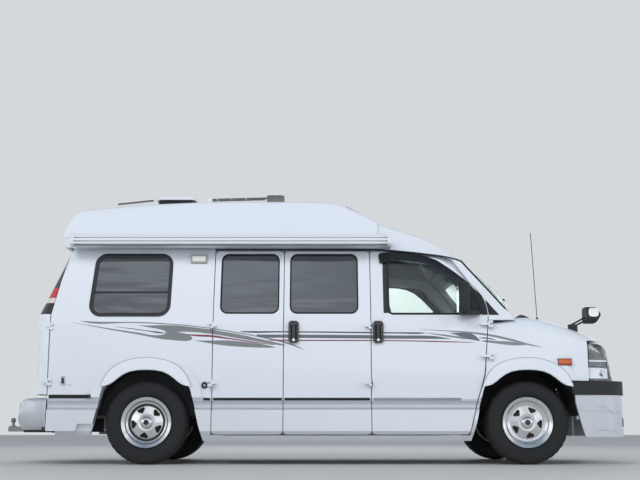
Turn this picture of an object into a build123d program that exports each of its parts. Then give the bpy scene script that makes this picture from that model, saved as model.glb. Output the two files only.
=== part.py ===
from build123d import *
import math
import os

os.makedirs("parts", exist_ok=True)

# Camper van on a full-size van chassis, with a moulded high roof.
# Millimetres. +X is forward, +Y is the left side, +Z is up, and the wheels stand on z = 0.
# The origin lies under the middle of the overall length, on the centre line.

# Overall sizes
wheelbase = 3430.0
front_overhang = 975.0
rear_overhang = 1270.0
hitch_reach = 246.0
overall_length = front_overhang + wheelbase + rear_overhang + hitch_reach
nose_x = overall_length / 2
front_axle_x = nose_x - front_overhang
rear_axle_x = front_axle_x - wheelbase
bumper_tail_x = rear_axle_x - rear_overhang
hitch_tail_x = bumper_tail_x - hitch_reach

# Gaps
seam_gap = 8.0
fit_gap = 0.3

# Wheels
tyre_radius = 372.0
tyre_width = 226.0
tyre_face_y = 955.0
rim_radius = 203.0
rim_flange_radius = 225.0
rim_width = 178.0
rim_lip_radius = 158.0
window_outer_radius = 150.0
window_apex_radius = 103.0
window_half_angle = 23.0
window_count = 5
cap_radius = 57.0
spindle_radius = 30.0
wheel_y = tyre_face_y - tyre_width / 2
front_wheel_angle = -6.0
rear_wheel_angle = -28.0

# Body walls
skin = 12.0
door_thickness = 50.0
wall_thickness = 66.0
frame_thickness = 95.0
door_rebate = 25.0
body_half_width = 1006.0

# Heights
rocker_bottom_z = 209.0
door_bottom_z = 261.0
waist_z = 614.0
belt_z = 1345.0
window_top_z = 1919.0
door_top_z = 1948.0
gutter_z = 1966.0
gutter_tail_z = 1984.0
floor_z = 640.0
floor_thickness = 25.0
tail_door_bottom_z = 616.0
lamp_bottom_z = 1342.0

# Tail, measured back from the rear axle
tail_x = rear_axle_x - 1023.0
corner_seam_x = rear_axle_x - 890.0
tail_lean = 0.402
tail_corner_radius = 130.0

# Side seams, from the rear axle or from the front axle
seam_a_x = rear_axle_x + 590.0
seam_b_x = rear_axle_x + 1232.0
seam_c_x = front_axle_x - 1404.0
seam_d_x = front_axle_x - 334.0
seam_d_mid_x = front_axle_x - 379.0
seam_d_waist_x = front_axle_x - 449.0
seam_d_foot_x = front_axle_x - 531.0
seam_d_mid_z = 792.0
seam_d_waist_z = 569.0
screen_seam_x = front_axle_x - 380.0
screen_seam_z = 1565.0

# Windscreen: where its face meets the body side and the centre line
screen_foot_z = 1329.0
screen_head_z = 1890.0
screen_foot_x = front_axle_x - 146.0
screen_head_x = front_axle_x - 608.0
screen_foot_bow = 100.0
screen_head_bow = 70.0

# Body side, bottom to top
# columns: height, half width, bulge of the stretch below
side_profile = [
    (rocker_bottom_z, 955.0, 0.0),
    (door_bottom_z, 985.0, 0.0),
    (480.0, 1012.0, 28.0),
    (492.0, 986.0, 0.0),
    (560.0, 988.0, -9.0),
    (1190.0, body_half_width, 4.0),
    (belt_z, 992.0, 2.0),
    (2010.0, 860.0, 0.0),
]

# Wheel arch opening beside each axle
# columns: distance ahead of the axle, height, corner radius
arch_rows = [
    (-540.0, 120.0, 0.0),
    (-470.0, 360.0, 60.0),
    (-400.0, 660.0, 150.0),
    (-300.0, 836.0, 130.0),
    (300.0, 836.0, 130.0),
    (400.0, 660.0, 150.0),
    (470.0, 360.0, 60.0),
    (540.0, 120.0, 0.0),
]
flare_width = 88.0
flare_stand = 22.0
flare_foot_z = 592.0
liner_radius = 486.0
liner_thickness = 8.0

# Hinge lines
hinge_stand_y = 1038.0
tail_hinge_y = 1014.0
tail_swing_radius = 256.0


def face_of(points, radii):
    """A flat face with the given corners; radii is one number or one for each corner."""
    if radii == 0:
        return Face(Wire(Polyline(*points, close=True).edges()))
    return Face(Wire(FilletPolyline(*points, radius=radii, close=True).edges()))


def prism_y(points, radii, y0, y1, grow=0.0):
    """Outline drawn in side view, given depth from y0 to y1."""
    face = face_of([(x, y0, z) for x, z in points], radii)
    if grow:
        face = offset(face, amount=grow, kind=Kind.INTERSECTION).face()
    return Solid.extrude(face, Vector(0, y1 - y0, 0))


def prism_z(points, radii, z0, z1, grow=0.0):
    """Outline drawn in plan, given height from z0 to z1."""
    face = face_of([(x, y, z0) for x, y in points], radii)
    if grow:
        face = offset(face, amount=grow, kind=Kind.INTERSECTION).face()
    return Solid.extrude(face, Vector(0, 0, z1 - z0))


def prism_x(points, radii, x0, x1, grow=0.0):
    """Outline drawn in front view, given length from x0 to x1."""
    face = face_of([(x0, y, z) for y, z in points], radii)
    if grow:
        face = offset(face, amount=grow, kind=Kind.INTERSECTION).face()
    return Solid.extrude(face, Vector(x1 - x0, 0, 0))


def block(x0, x1, y0, y1, z0, z1):
    return Pos((x0 + x1) / 2, (y0 + y1) / 2, (z0 + z1) / 2) * Box(x1 - x0, y1 - y0, z1 - z0)


def rod(start, end, radius):
    """Round bar between two points."""
    a = Vector(*start)
    b = Vector(*end)
    return Solid.make_cylinder(radius, (b - a).length, Plane(origin=a, z_dir=b - a))


def mirrored(shape):
    return mirror(shape, about=Plane.XZ)


def joined(shapes):
    total = shapes[0]
    for shape in shapes[1:]:
        total = total + shape
    return total


def arc_between(start, end, bulge):
    """Arc in a plane of constant x; bulge is positive away from the centre line."""
    if bulge == 0:
        return Line(start, end)
    middle = (start + end) * 0.5
    run = end - start
    normal = Vector(0, run.Z, -run.Y).normalized()
    if normal.Y * middle.Y < 0:
        normal = normal * -1
    return ThreePointArc(start, middle + normal * bulge, end)


def side_edges(x, inset, side, reach):
    """The body side from bottom to top at one station; side is -1 on the right."""
    rows = list(side_profile)
    first = rows[0]
    last = rows[-1]
    slope = (last[1] - rows[-2][1]) / (last[0] - rows[-2][0])
    rows[0] = (first[0] - reach, first[1], 0.0)
    rows[-1] = (last[0] + reach, last[1] + slope * reach, 0.0)
    points = [Vector(x, side * (width - inset), height) for height, width, bulge in rows]
    return [arc_between(a, b, row[2]) for a, b, row in zip(points, points[1:], rows[1:])]


def section_face(x, inset, reach):
    right = side_edges(x, inset, -1, reach)
    left = side_edges(x, inset, 1, reach)
    top = Line(right[-1] @ 1, left[-1] @ 1)
    bottom = Line(left[0] @ 0, right[0] @ 0)
    return Face(Wire([*right, top, *reversed(left), bottom]))


def tail_outline(z, half_width, back_x, front_x, radius):
    points = [(front_x, -half_width, z), (back_x, -half_width, z)]
    points += [(back_x, half_width, z), (front_x, half_width, z)]
    return face_of(points, [0, radius, radius, 0])


def tail_block(inset):
    """Plan shape of the tail: upright below the lamps, leaning forward above them."""
    front_x = front_axle_x + 400
    top_z = 2100.0
    radius = tail_corner_radius - inset
    low_width = body_half_width - inset
    lean = (top_z - lamp_bottom_z) * tail_lean
    top_width = low_width - (top_z - lamp_bottom_z) * 0.2
    low = tail_outline(100.0, low_width, tail_x + inset, front_x, radius)
    lower = Solid.extrude(low, Vector(0, 0, lamp_bottom_z - 100.0))
    upper = loft([
        tail_outline(lamp_bottom_z, low_width, tail_x + inset, front_x, radius),
        tail_outline(top_z, top_width, tail_x + inset + lean, front_x, radius),
    ], ruled=True)
    return lower + upper


def screen_outline(z, inset):
    """Plan shape of the cab front at one height, bowed across the windscreen."""
    share = (z - screen_foot_z) / (screen_head_z - screen_foot_z)
    side_x = screen_foot_x + (screen_head_x - screen_foot_x) * share - inset
    bow = screen_foot_bow + (screen_head_bow - screen_foot_bow) * share
    back_x = tail_x - 100
    wide = body_half_width + 100
    edges = [
        ThreePointArc((side_x, -wide, z), (side_x + bow, 0, z), (side_x, wide, z)),
        Line((side_x, wide, z), (back_x, wide, z)),
        Line((back_x, wide, z), (back_x, -wide, z)),
        Line((back_x, -wide, z), (side_x, -wide, z)),
    ]
    return Face(Wire(edges))


def body_volume(inset, reach=0.0):
    """The whole closed body inside its outer faces, moved in by inset."""
    face = section_face(tail_x - 50, inset, reach)
    length = front_axle_x + 500 - tail_x
    tube = Solid.extrude(face, Vector(length, 0, 0))
    screen = loft([screen_outline(100.0, inset), screen_outline(2100.0, inset)], ruled=True)
    return (tube & tail_block(inset)) & screen


def shell(outer, inner):
    """The body wall between two depths, open at its top and bottom."""
    return body_volume(outer) - body_volume(inner, 60.0)


# Gutter line under the roof cap, back to front
brow_z = 1852.0
gutter_rows = [
    (tail_x + 150, gutter_tail_z),
    (rear_axle_x - 308, 1978.0),
    (front_axle_x - 1306, gutter_z),
    (front_axle_x - 744, 1904.0),
    (front_axle_x - 600, brow_z),
    (nose_x, brow_z),
]


def below_gutter(z0, y0, y1):
    """Everything in side view from z0 up to the gutter line."""
    points = [(tail_x - 200, z0), (tail_x - 200, gutter_tail_z)] + gutter_rows
    points += [(nose_x, z0)]
    return prism_y(points, 0, y0, y1)


def arch_opening(axle_x, y0, y1, grow=0.0):
    points = [(axle_x + dx, z) for dx, z, radius in arch_rows]
    return prism_y(points, [radius for dx, z, radius in arch_rows], y0, y1, grow)


def flare(axle_x, side):
    """Raised brow round a wheel arch, proud of the body side."""
    outer = section_slab(-flare_stand, 4.0, side, axle_x - 700, axle_x + 700)
    ring = arch_opening(axle_x, side * 700, side * 1200, flare_width)
    hole = arch_opening(axle_x, side * 600, side * 1300)
    low = block(axle_x - 900, axle_x + 900, -1300, 1300, 0, flare_foot_z)
    return (outer & ring) - hole - low


def section_slab(outer, inner, side, x0, x1):
    """Straight length of body side between two depths."""
    out = side_edges(x0, outer, side, 0.0)
    inn = side_edges(x0, inner, side, 0.0)
    top = Line(out[-1] @ 1, inn[-1] @ 1)
    bottom = Line(inn[0] @ 0, out[0] @ 0)
    face = Face(Wire([*out, top, *reversed(inn), bottom]))
    return Solid.extrude(face, Vector(x1 - x0, 0, 0))


# Door and window outlines in side view
front_door_rows = [
    (seam_c_x, door_bottom_z, 40.0),
    (seam_c_x, door_top_z, 30.0),
    (front_axle_x - 1290, door_top_z, 300.0),
    (front_axle_x - 760, 1880.0, 300.0),
    (front_axle_x - 650, 1808.0, 60.0),
    (screen_seam_x, screen_seam_z - 40, 300.0),
    (seam_d_x, screen_foot_z, 100.0),
    (seam_d_mid_x, seam_d_mid_z, 400.0),
    (seam_d_waist_x, seam_d_waist_z, 100.0),
    (seam_d_foot_x, door_bottom_z, 50.0),
]
cab_window_rows = [
    (front_axle_x - 1240, belt_z, 40.0),
    (front_axle_x - 1240, 1908.0, 60.0),
    (front_axle_x - 1150, 1908.0, 200.0),
    (front_axle_x - 780, 1845.0, 150.0),
    (front_axle_x - 440, 1480.0, 60.0),
    (front_axle_x - 400, belt_z, 30.0),
]
side_window_rows = [
    (rear_axle_x + 648, rear_axle_x + 1190, 70.0),
    (rear_axle_x + 1285, front_axle_x - 1515, 70.0),
]
quarter_window = [
    (rear_axle_x - 536, 1336.0),
    (rear_axle_x - 500, 1900.0),
    (rear_axle_x + 182, 1900.0),
    (rear_axle_x + 176, 1336.0),
]
quarter_radius = 90.0


def outline_of(rows):
    return [(x, z) for x, z, radius in rows], [radius for x, z, radius in rows]


def leaf_outline(x0, x1):
    corner = 40.0
    points = [(x0, door_bottom_z), (x0, door_top_z), (x1, door_top_z), (x1, door_bottom_z)]
    return points, corner


def window_outline(row):
    x0, x1, radius = row
    return [(x0, belt_z), (x0, window_top_z), (x1, window_top_z), (x1, belt_z)], radius


skin_shell = shell(0.0, skin)
core_shell = shell(skin - 2, door_thickness)
wall_shell = shell(0.0, wall_thickness)
frame_shell = shell(wall_thickness - 6, frame_thickness)
glass_shell = shell(16.0, 22.0)


def door_panel(points, radii, y0, y1, holes):
    """A whole door: outer skin to the seam, and an inner body set back behind it."""
    face_part = skin_shell & prism_y(points, radii, y0, y1, -seam_gap / 2)
    core_part = core_shell & prism_y(points, radii, y0, y1, -seam_gap / 2 - door_rebate)
    door = face_part + core_part
    for hole_points, hole_radii in holes:
        door = door - prism_y(hole_points, hole_radii, y0 - 5, y1 + 5)
    return door


def pane(points, radii, y0, y1):
    return glass_shell & prism_y(points, radii, y0, y1, -fit_gap)


parts = {}


def add(name, shape):
    parts[name] = shape


def both_sides(name, shape_right):
    add(name + "_right", shape_right)
    add(name + "_left", mirrored(shape_right))


def width_at(z):
    """Half width of the body side at one height, taken along the chords."""
    for (z0, w0, _), (z1, w1, _) in zip(side_profile, side_profile[1:]):
        if z0 <= z <= z1:
            return w0 + (w1 - w0) * (z - z0) / (z1 - z0)
    return body_half_width


# Exposed door hinges: barrels on a pin at each hinge line
hinge_height = 60.0
hinge_barrel_radius = 9.0
hinge_pin_radius = 5.0
hinge_plate = 6.0
# the middle door's hinge line lies a little behind its seam, clear of the front door
leaf_hinge_back = 14.0
leaf_hinge_x = seam_c_x - leaf_hinge_back
side_hinge_zs = (720.0, 1235.0)
front_hinge_zs = (960.0, 1250.0)
tail_hinge_zs = (730.0, 1230.0)


def hinge_halves(x, y, z, body_reach, door_reach, foot, through):
    """Fixed half with its pin, and moving half, of one right-hand hinge.

    The reaches run along X from the hinge line. A fixed half that goes through the seam has a
    short arm along the outside and a plate that turns in between the two doors.
    The moving arm meets its door at least foot away from the hinge line.
    """
    third = hinge_height / 3
    barrel = hinge_barrel_radius
    skin_y = -width_at(z) + 5
    fixed = rod((x, y, z - hinge_height / 2), (x, y, z + hinge_height / 2), hinge_pin_radius)
    low = (z - hinge_height / 2, z - third / 2 - fit_gap)
    high = (z + third / 2 + fit_gap, z + hinge_height / 2)
    x0, x1 = sorted((x, x + body_reach))
    for z0, z1 in (low, high):
        fixed = fixed + rod((x, y, z0), (x, y, z1), barrel)
        if through:
            plate_x = x1 - hinge_plate
            fixed = fixed + block(x0, x1, y - barrel + 2, y + 5, z0, z1)
            fixed = fixed + block(plate_x, x1, y, -width_at(z) + wall_thickness, z0, z1)
        else:
            fixed = fixed + block(x0, x1, y - barrel + 2, skin_y, z0, z1)
    x0, x1 = sorted((x, x + door_reach))
    moving = rod((x, y, z - third / 2), (x, y, z + third / 2), barrel)
    moving = moving + block(x0, x1, y - barrel + 2, skin_y - 12, z - third / 2, z + third / 2)
    x0, x1 = sorted((x + math.copysign(foot, door_reach), x + door_reach))
    moving = moving + block(x0, x1, y - barrel + 2, skin_y, z - third / 2, z + third / 2)
    moving = moving - rod((x, y, z - third), (x, y, z + third), hinge_pin_radius + fit_gap)
    return fixed, moving


def hinge_set(x, y, heights, body_reach, door_reach, foot=8.0, through=False):
    """All fixed halves and all moving halves along one hinge line."""
    pairs = [hinge_halves(x, y, z, body_reach, door_reach, foot, through) for z in heights]
    return joined([fixed for fixed, moving in pairs]), [moving for fixed, moving in pairs]


def seam_notches(x):
    """Room round the hinge plates that pass through the seam between two doors."""
    room = hinge_height / 2 + 6
    return [block(x - 12, x + 12, -1100, -880, z - room, z + room) for z in side_hinge_zs]


# reaches along X of the fixed and the moving arm, and the foot distance of the front door's
front_fixed, front_moving = hinge_set(seam_d_x, -hinge_stand_y, front_hinge_zs, 34.0, -78.0, 46.0)
leaf_c_fixed, leaf_c_moving = hinge_set(leaf_hinge_x, -hinge_stand_y, side_hinge_zs, leaf_hinge_back + 3,
                                        -40.0, through=True)
leaf_a_fixed, leaf_a_moving = hinge_set(seam_a_x, -hinge_stand_y, side_hinge_zs, -34.0, 34.0)
tail_fixed, tail_moving = hinge_set(corner_seam_x, -tail_hinge_y, tail_hinge_zs, 34.0, -34.0)


# Wheels: tyre, alloy rim with five three-cornered openings, steering knuckles

def ring_profile(rows):
    """Half section turned about the wheel's own axle; rows are radius and offset along Y."""
    face = face_of([(r, y, 0) for r, y in rows], 0)
    return Solid.revolve(face, 360, Axis.Y)


def make_tyre():
    half = tyre_width / 2
    bead = rim_width / 2 - 12
    rows = [(rim_radius + fit_gap, -bead), (rim_radius + 95, -half), (tyre_radius, -half + 24)]
    rows += [(tyre_radius, half - 24), (rim_radius + 95, half), (rim_radius + fit_gap, bead)]
    return ring_profile(rows)


def make_rim(start_angle):
    """Deep-lipped alloy wheel facing -Y, about its own centre."""
    face_y = -rim_width / 2
    barrel = ring_profile([
        (rim_radius - 9, face_y), (rim_flange_radius, face_y - 14), (rim_flange_radius, face_y - 3),
        (rim_radius, face_y + 8), (rim_radius, -face_y), (rim_radius - 9, -face_y),
    ])
    dish = ring_profile([
        (spindle_radius + fit_gap, face_y + 22), (cap_radius + 20, face_y + 16),
        (rim_lip_radius, face_y + 34), (rim_radius - 4, face_y + 96), (rim_radius - 4, face_y + 112),
        (rim_lip_radius - 6, face_y + 58), (cap_radius + 20, face_y + 60),
        (spindle_radius + fit_gap, face_y + 98),
    ])
    wheel = barrel + dish
    half = math.radians(window_half_angle)
    apex = (0.0, -window_apex_radius)
    wing_x = window_outer_radius * math.sin(half)
    wing_z = -window_outer_radius * math.cos(half)
    triangle = [(0.0, -window_apex_radius + 18), (-wing_x, wing_z), (wing_x, wing_z)]
    for index in range(window_count):
        cutter = prism_y(triangle, 14.0, -rim_width, rim_width)
        wheel = wheel - cutter.rotate(Axis.Y, -(start_angle + 90 + index * 360 / window_count))
    cap = ring_profile([
        (0.0, face_y - 6), (cap_radius - 12, face_y - 6), (cap_radius, face_y + 4),
        (cap_radius, face_y + 30), (0.0, face_y + 30),
    ])
    return wheel + cap


def on_axle(shape, axle_x, side):
    """A wheel made facing -Y, set on its axle; side is -1 on the right."""
    if side > 0:
        shape = shape.rotate(Axis.Z, 180)
    return Pos(axle_x, side * wheel_y, tyre_radius) * shape


tyre = make_tyre()
# columns: axle, place of the axle, angle of the first opening
wheel_rows = [("front", front_axle_x, front_wheel_angle), ("rear", rear_axle_x, rear_wheel_angle)]
for end, axle_x, angle in wheel_rows:
    rim = make_rim(angle)
    for name, side in [("right", -1), ("left", 1)]:
        add(f"tyre_{end}_{name}", on_axle(tyre, axle_x, side))
        add(f"rim_{end}_{name}", on_axle(rim, axle_x, side))

kingpin_y = 768.0
pin_radius = 16.0
eye_radius = 36.0
eye_height = 100.0
ear_thickness = 26.0
spindle_end_y = wheel_y + rim_width / 2 - 32
spindle_root_y = wheel_y - rim_width / 2 + 46


def make_knuckle():
    """Right-hand upright: two ears round the beam's eye, the kingpin and the stub axle."""
    z0 = tyre_radius - eye_height / 2 - 0.5
    z1 = tyre_radius + eye_height / 2 + 0.5
    x0 = front_axle_x - 40
    x1 = front_axle_x + 40
    lower = block(x0, x1, -kingpin_y - 58, -kingpin_y + 30, z0 - ear_thickness, z0)
    upper = block(x0, x1, -kingpin_y - 58, -kingpin_y + 30, z1, z1 + ear_thickness)
    plate = block(x0, x1, -kingpin_y - 58, -kingpin_y - 40, z0 - ear_thickness, z1 + ear_thickness)
    pin = rod((front_axle_x, -kingpin_y, z0 - 10), (front_axle_x, -kingpin_y, z1 + 10), pin_radius)
    stub = rod((front_axle_x, -kingpin_y - 45, tyre_radius), (front_axle_x, -spindle_end_y, tyre_radius),
               spindle_radius)
    arm = block(front_axle_x - 150, front_axle_x - 30, -kingpin_y + 8, -kingpin_y + 30,
                z0 - ear_thickness, z0 - 2)
    return joined([lower, upper, plate, pin, stub, arm])


both_sides("knuckle", make_knuckle())

# Chassis: ladder frame, axles, springs, engine, tank and exhaust
rail_y = 430.0
rail_width = 76.0
rail_bottom_z = 500.0
rail_top_z = floor_z
rail_tail_x = tail_x + frame_thickness
rail_nose_x = front_axle_x + 760
cross_xs = [rail_tail_x + 60, rear_axle_x - 640, rear_axle_x + 640, rear_axle_x + 1500, front_axle_x - 640,
            front_axle_x + 30, rail_nose_x - 50]
receiver_half = 32.0
receiver_z = 315.0
receiver_tail_x = bumper_tail_x - 90
ball_radius = 25.0
ball_x = hitch_tail_x + 40


def make_chassis_frame():
    """Two box rails, their cross members and the towing receiver."""
    pieces = []
    for side in (-1, 1):
        y = side * rail_y
        pieces.append(block(rail_tail_x, rail_nose_x, y - rail_width / 2, y + rail_width / 2,
                            rail_bottom_z, rail_top_z))
        # drop plate of the receiver
        pieces.append(block(rail_tail_x - 60, rail_tail_x + 260, y - 8, y + 8,
                            receiver_z - 30, rail_bottom_z + 40))
    for x in cross_xs:
        pieces.append(block(x - 30, x + 30, -rail_y, rail_y, rail_bottom_z, rail_bottom_z + 70))
    pieces.append(block(rail_tail_x - 50, rail_tail_x + 20, -rail_y - 8, rail_y + 8,
                        receiver_z - 35, receiver_z + 35))
    tube = block(receiver_tail_x, rail_tail_x, -receiver_half, receiver_half, receiver_z - receiver_half,
                 receiver_z + receiver_half)
    bore = block(receiver_tail_x - 5, rail_tail_x - 80, -25.5, 25.5, receiver_z - 25.5, receiver_z + 25.5)
    frame = joined(pieces) + (tube - bore)
    # bumper outriggers at both ends
    for x0, x1 in [(rail_nose_x - 20, front_axle_x + 908), (bumper_tail_x + 70, rail_tail_x + 20)]:
        for side in (-1, 1):
            y = side * rail_y
            frame = frame + block(x0, x1, y - 25, y + 25, rail_bottom_z + 5, rail_bottom_z + 55)
    return frame


def make_tow_ball():
    """Drawbar in the receiver with its ball."""
    bar = block(hitch_tail_x, rail_tail_x - 90, -25, 25, receiver_z - 25, receiver_z + 25)
    stem = rod((ball_x, 0, receiver_z + 20), (ball_x, 0, receiver_z + 68), 14)
    collar = rod((ball_x, 0, receiver_z + 24), (ball_x, 0, receiver_z + 34), 30)
    ball = Pos(ball_x, 0, receiver_z + 84) * Sphere(ball_radius)
    return joined([bar, stem, collar, ball])


def make_rear_axle():
    """Live axle with its differential, leaf springs and propeller shaft."""
    tube = rod((rear_axle_x, -spindle_root_y, tyre_radius), (rear_axle_x, spindle_root_y, tyre_radius), 44)
    stub = rod((rear_axle_x, -spindle_end_y, tyre_radius), (rear_axle_x, spindle_end_y, tyre_radius),
               spindle_radius)
    bowl = Pos(rear_axle_x, 0, tyre_radius) * Sphere(138)
    nose = rod((rear_axle_x + 60, 0, tyre_radius), (rear_axle_x + 260, 0, tyre_radius + 6), 60)
    shaft = rod((rear_axle_x + 250, 0, tyre_radius + 6), (gearbox_tail_x - 1.4, 0, gearbox_low_z + 55), 38)
    axle = joined([tube, stub, bowl, nose, shaft])
    for side in (-1, 1):
        y = side * rail_y
        points = [(rear_axle_x - 640, rail_bottom_z), (rear_axle_x - 610, rail_bottom_z - 50),
                  (rear_axle_x, tyre_radius + 44), (rear_axle_x + 610, rail_bottom_z - 50),
                  (rear_axle_x + 640, rail_bottom_z), (rear_axle_x + 600, rail_bottom_z),
                  (rear_axle_x + 580, rail_bottom_z - 30), (rear_axle_x, tyre_radius + 74),
                  (rear_axle_x - 580, rail_bottom_z - 30), (rear_axle_x - 600, rail_bottom_z)]
        axle = axle + prism_y(points, 0, y - 32, y + 32)
        axle = axle + block(rear_axle_x - 50, rear_axle_x + 50, y - 45, y + 45, tyre_radius, tyre_radius + 60)
    return axle


engine_tail_x = front_axle_x - 340
engine_nose_x = front_axle_x + 420
engine_half_width = 270.0
engine_bottom_z = 570.0
engine_top_z = 1120.0
gearbox_tail_x = engine_tail_x - 420
gearbox_low_z = 390.0


def make_front_suspension():
    """Cross beam with an eye for each kingpin, coil springs and lower arms back to the rails."""
    z0 = tyre_radius - 36
    z1 = tyre_radius + 24
    eye_z0 = tyre_radius - eye_height / 2
    eye_z1 = tyre_radius + eye_height / 2
    arm_x = front_axle_x - 900
    pieces = [block(front_axle_x - 36, front_axle_x + 36, -kingpin_y + 20, kingpin_y - 20, z0, z1)]
    bores = []
    for side in (-1, 1):
        y = side * kingpin_y
        spring_y = side * (rail_y - 5)
        arm_y0 = side * rail_y - 22
        arm_y1 = side * rail_y + 22
        pieces.append(rod((front_axle_x, y, eye_z0), (front_axle_x, y, eye_z1), eye_radius))
        pieces.append(rod((front_axle_x, spring_y, z1 - 2), (front_axle_x, spring_y, rail_bottom_z), 33))
        pieces.append(block(arm_x, front_axle_x, arm_y0, arm_y1, z0 + 10, z0 + 45))
        pieces.append(block(arm_x, arm_x + 60, arm_y0, arm_y1, z0 + 10, rail_bottom_z))
        bore_radius = pin_radius + fit_gap
        bores.append(rod((front_axle_x, y, eye_z0 - 10), (front_axle_x, y, eye_z1 + 10), bore_radius))
    total = joined(pieces)
    for bore in bores:
        total = total - bore
    return total


def make_engine():
    """Plain mass of the engine with its gearbox hung under the cross member."""
    engine = block(engine_tail_x, engine_nose_x, -engine_half_width, engine_half_width, engine_bottom_z,
                   engine_top_z)
    gearbox = block(gearbox_tail_x, engine_tail_x + 120, -110, 110, gearbox_low_z, rail_bottom_z)
    bell = block(engine_tail_x, engine_tail_x + 120, -150, 150, gearbox_low_z + 20, engine_bottom_z + 20)
    return joined([engine, gearbox, bell])


exhaust_y = 220.0
exhaust_radius = 30.0
silencer_radius = 72.0
silencer_length = 550.0


def make_exhaust():
    """One bent pipe from the engine over the rear axle to the tail, with its silencer."""
    y = exhaust_y
    z = rail_bottom_z - exhaust_radius
    drop_x = engine_tail_x + 50
    points = [
        (drop_x, y, engine_bottom_z), (drop_x, y, z), (rear_axle_x + 300, y, z),
        (rear_axle_x + 150, y, z + 75), (rear_axle_x - 300, y, z + 75), (rear_axle_x - 480, y, z - 18),
        (tail_x - 30, y, z - 18),
    ]
    path = FilletPolyline(*points, radius=2 * exhaust_radius)
    start = Plane(origin=path @ 0, z_dir=path % 0)
    pipe = sweep(start * Circle(exhaust_radius), path)
    silencer_x = rear_axle_x + 700
    silencer_z = z - exhaust_radius
    silencer_end_x = silencer_x + silencer_length
    silencer = rod((silencer_x, y, silencer_z), (silencer_end_x, y, silencer_z), silencer_radius)
    return pipe + silencer


add("chassis_frame", make_chassis_frame())
add("tow_ball", make_tow_ball())
add("rear_axle", make_rear_axle())
add("front_suspension", make_front_suspension())
add("engine_block", make_engine())
tank = prism_y([(rear_axle_x + 700, rail_bottom_z), (rear_axle_x + 720, 330), (rear_axle_x + 1530, 330),
                (rear_axle_x + 1550, rail_bottom_z)], 30, -380, -70)
add("fuel_tank", tank)
add("exhaust", make_exhaust())

# Floor with rear wheel houses, arch liners
floor_tail_x = tail_x + frame_thickness
floor_nose_x = front_axle_x - 480
house_inner_y = 690.0
front_house_inner_y = 510.0
liner_outer_y = 925.0


def half_ring(axle_x, y0, y1, inner, outer):
    ring = rod((axle_x, y0, tyre_radius), (axle_x, y1, tyre_radius), outer)
    ring = ring - rod((axle_x, y0 - 5, tyre_radius), (axle_x, y1 + 5, tyre_radius), inner)
    low = block(axle_x - 600, axle_x + 600, y0 - 9, y1 + 9, -200, tyre_radius + 60)
    return ring - low


def drum(axle_x, y0, y1, radius):
    return rod((axle_x, y0, tyre_radius), (axle_x, y1, tyre_radius), radius)


def make_floor():
    half = width_at(floor_z) - frame_thickness - fit_gap
    plate = block(floor_tail_x, floor_nose_x, -half, half, floor_z, floor_z + floor_thickness)
    for axle_x, inner_y in [(rear_axle_x, house_inner_y), (front_axle_x, front_house_inner_y)]:
        plate = plate - drum(axle_x, inner_y, half + 20, liner_radius + liner_thickness)
        plate = plate - drum(axle_x, -half - 20, -inner_y, liner_radius + liner_thickness)
    return plate & tail_block(frame_thickness + fit_gap)


def make_liners():
    """Half-round arch liners; the rear ones are closed on their inner side."""
    outer = liner_radius + liner_thickness
    pieces = []
    rear = half_ring(rear_axle_x, -liner_outer_y + 42, -house_inner_y, liner_radius, outer)
    wall = half_ring(rear_axle_x, -house_inner_y - liner_thickness, -house_inner_y, 60, outer)
    wall = wall - block(rear_axle_x - 80, rear_axle_x + 80, -1000, 0, 0, tyre_radius + 130)
    pieces.append(rear + wall)
    pieces.append(half_ring(front_axle_x, -liner_outer_y - 8, -front_house_inner_y, liner_radius, outer))
    return [shape for piece in pieces for shape in (piece, mirrored(piece))]


add("floor_pan", make_floor())
add("arch_liners", Compound(children=[Part() + piece for piece in make_liners()]))

# Body sides: fixed panels, jambs behind the doors, rockers
frame_overlap = 34.0


def above(z):
    return block(tail_x - 300, nose_x + 100, -1300, 1300, z, 3000)


def jamb(side, doors, windows):
    """Inner frame behind the doors, cut back inside each door's outline."""
    y0, y1 = sorted((side * 500.0, side * 1200.0))
    front_x = screen_seam_x + 30
    wall = frame_shell & block(tail_x + 205, front_x, y0, y1, door_bottom_z, 2000)
    wall = wall & below_gutter(200.0, y0, y1)
    wall = wall & prism_y([(tail_x, 0), (tail_x, 2100), (front_axle_x - 800, 2100),
                           (screen_seam_x - 40, screen_seam_z - 20), (seam_d_x - 60, screen_foot_z),
                           (seam_d_x - 80, 0)], 0, y0, y1)
    for points, radii in doors:
        wall = wall - prism_y(points, radii, y0 - 5, y1 + 5, -frame_overlap - door_rebate)
    for points, radii in windows:
        wall = wall - prism_y(points, radii, y0 - 5, y1 + 5)
    return wall


def rear_door_seam(side):
    """The part of the body side ahead of the rear door's wrap and ahead of the tail lamp."""
    y0, y1 = sorted((side * 500.0, side * 1300.0))
    top_x = tail_x + 250 + 8
    points = [(corner_seam_x + seam_gap / 2, 0), (corner_seam_x + seam_gap / 2, lamp_bottom_z),
              (top_x, 1960), (top_x + 40, 2100), (front_axle_x, 2100), (front_axle_x, 0)]
    return prism_y(points, 0, y0, y1)


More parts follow.
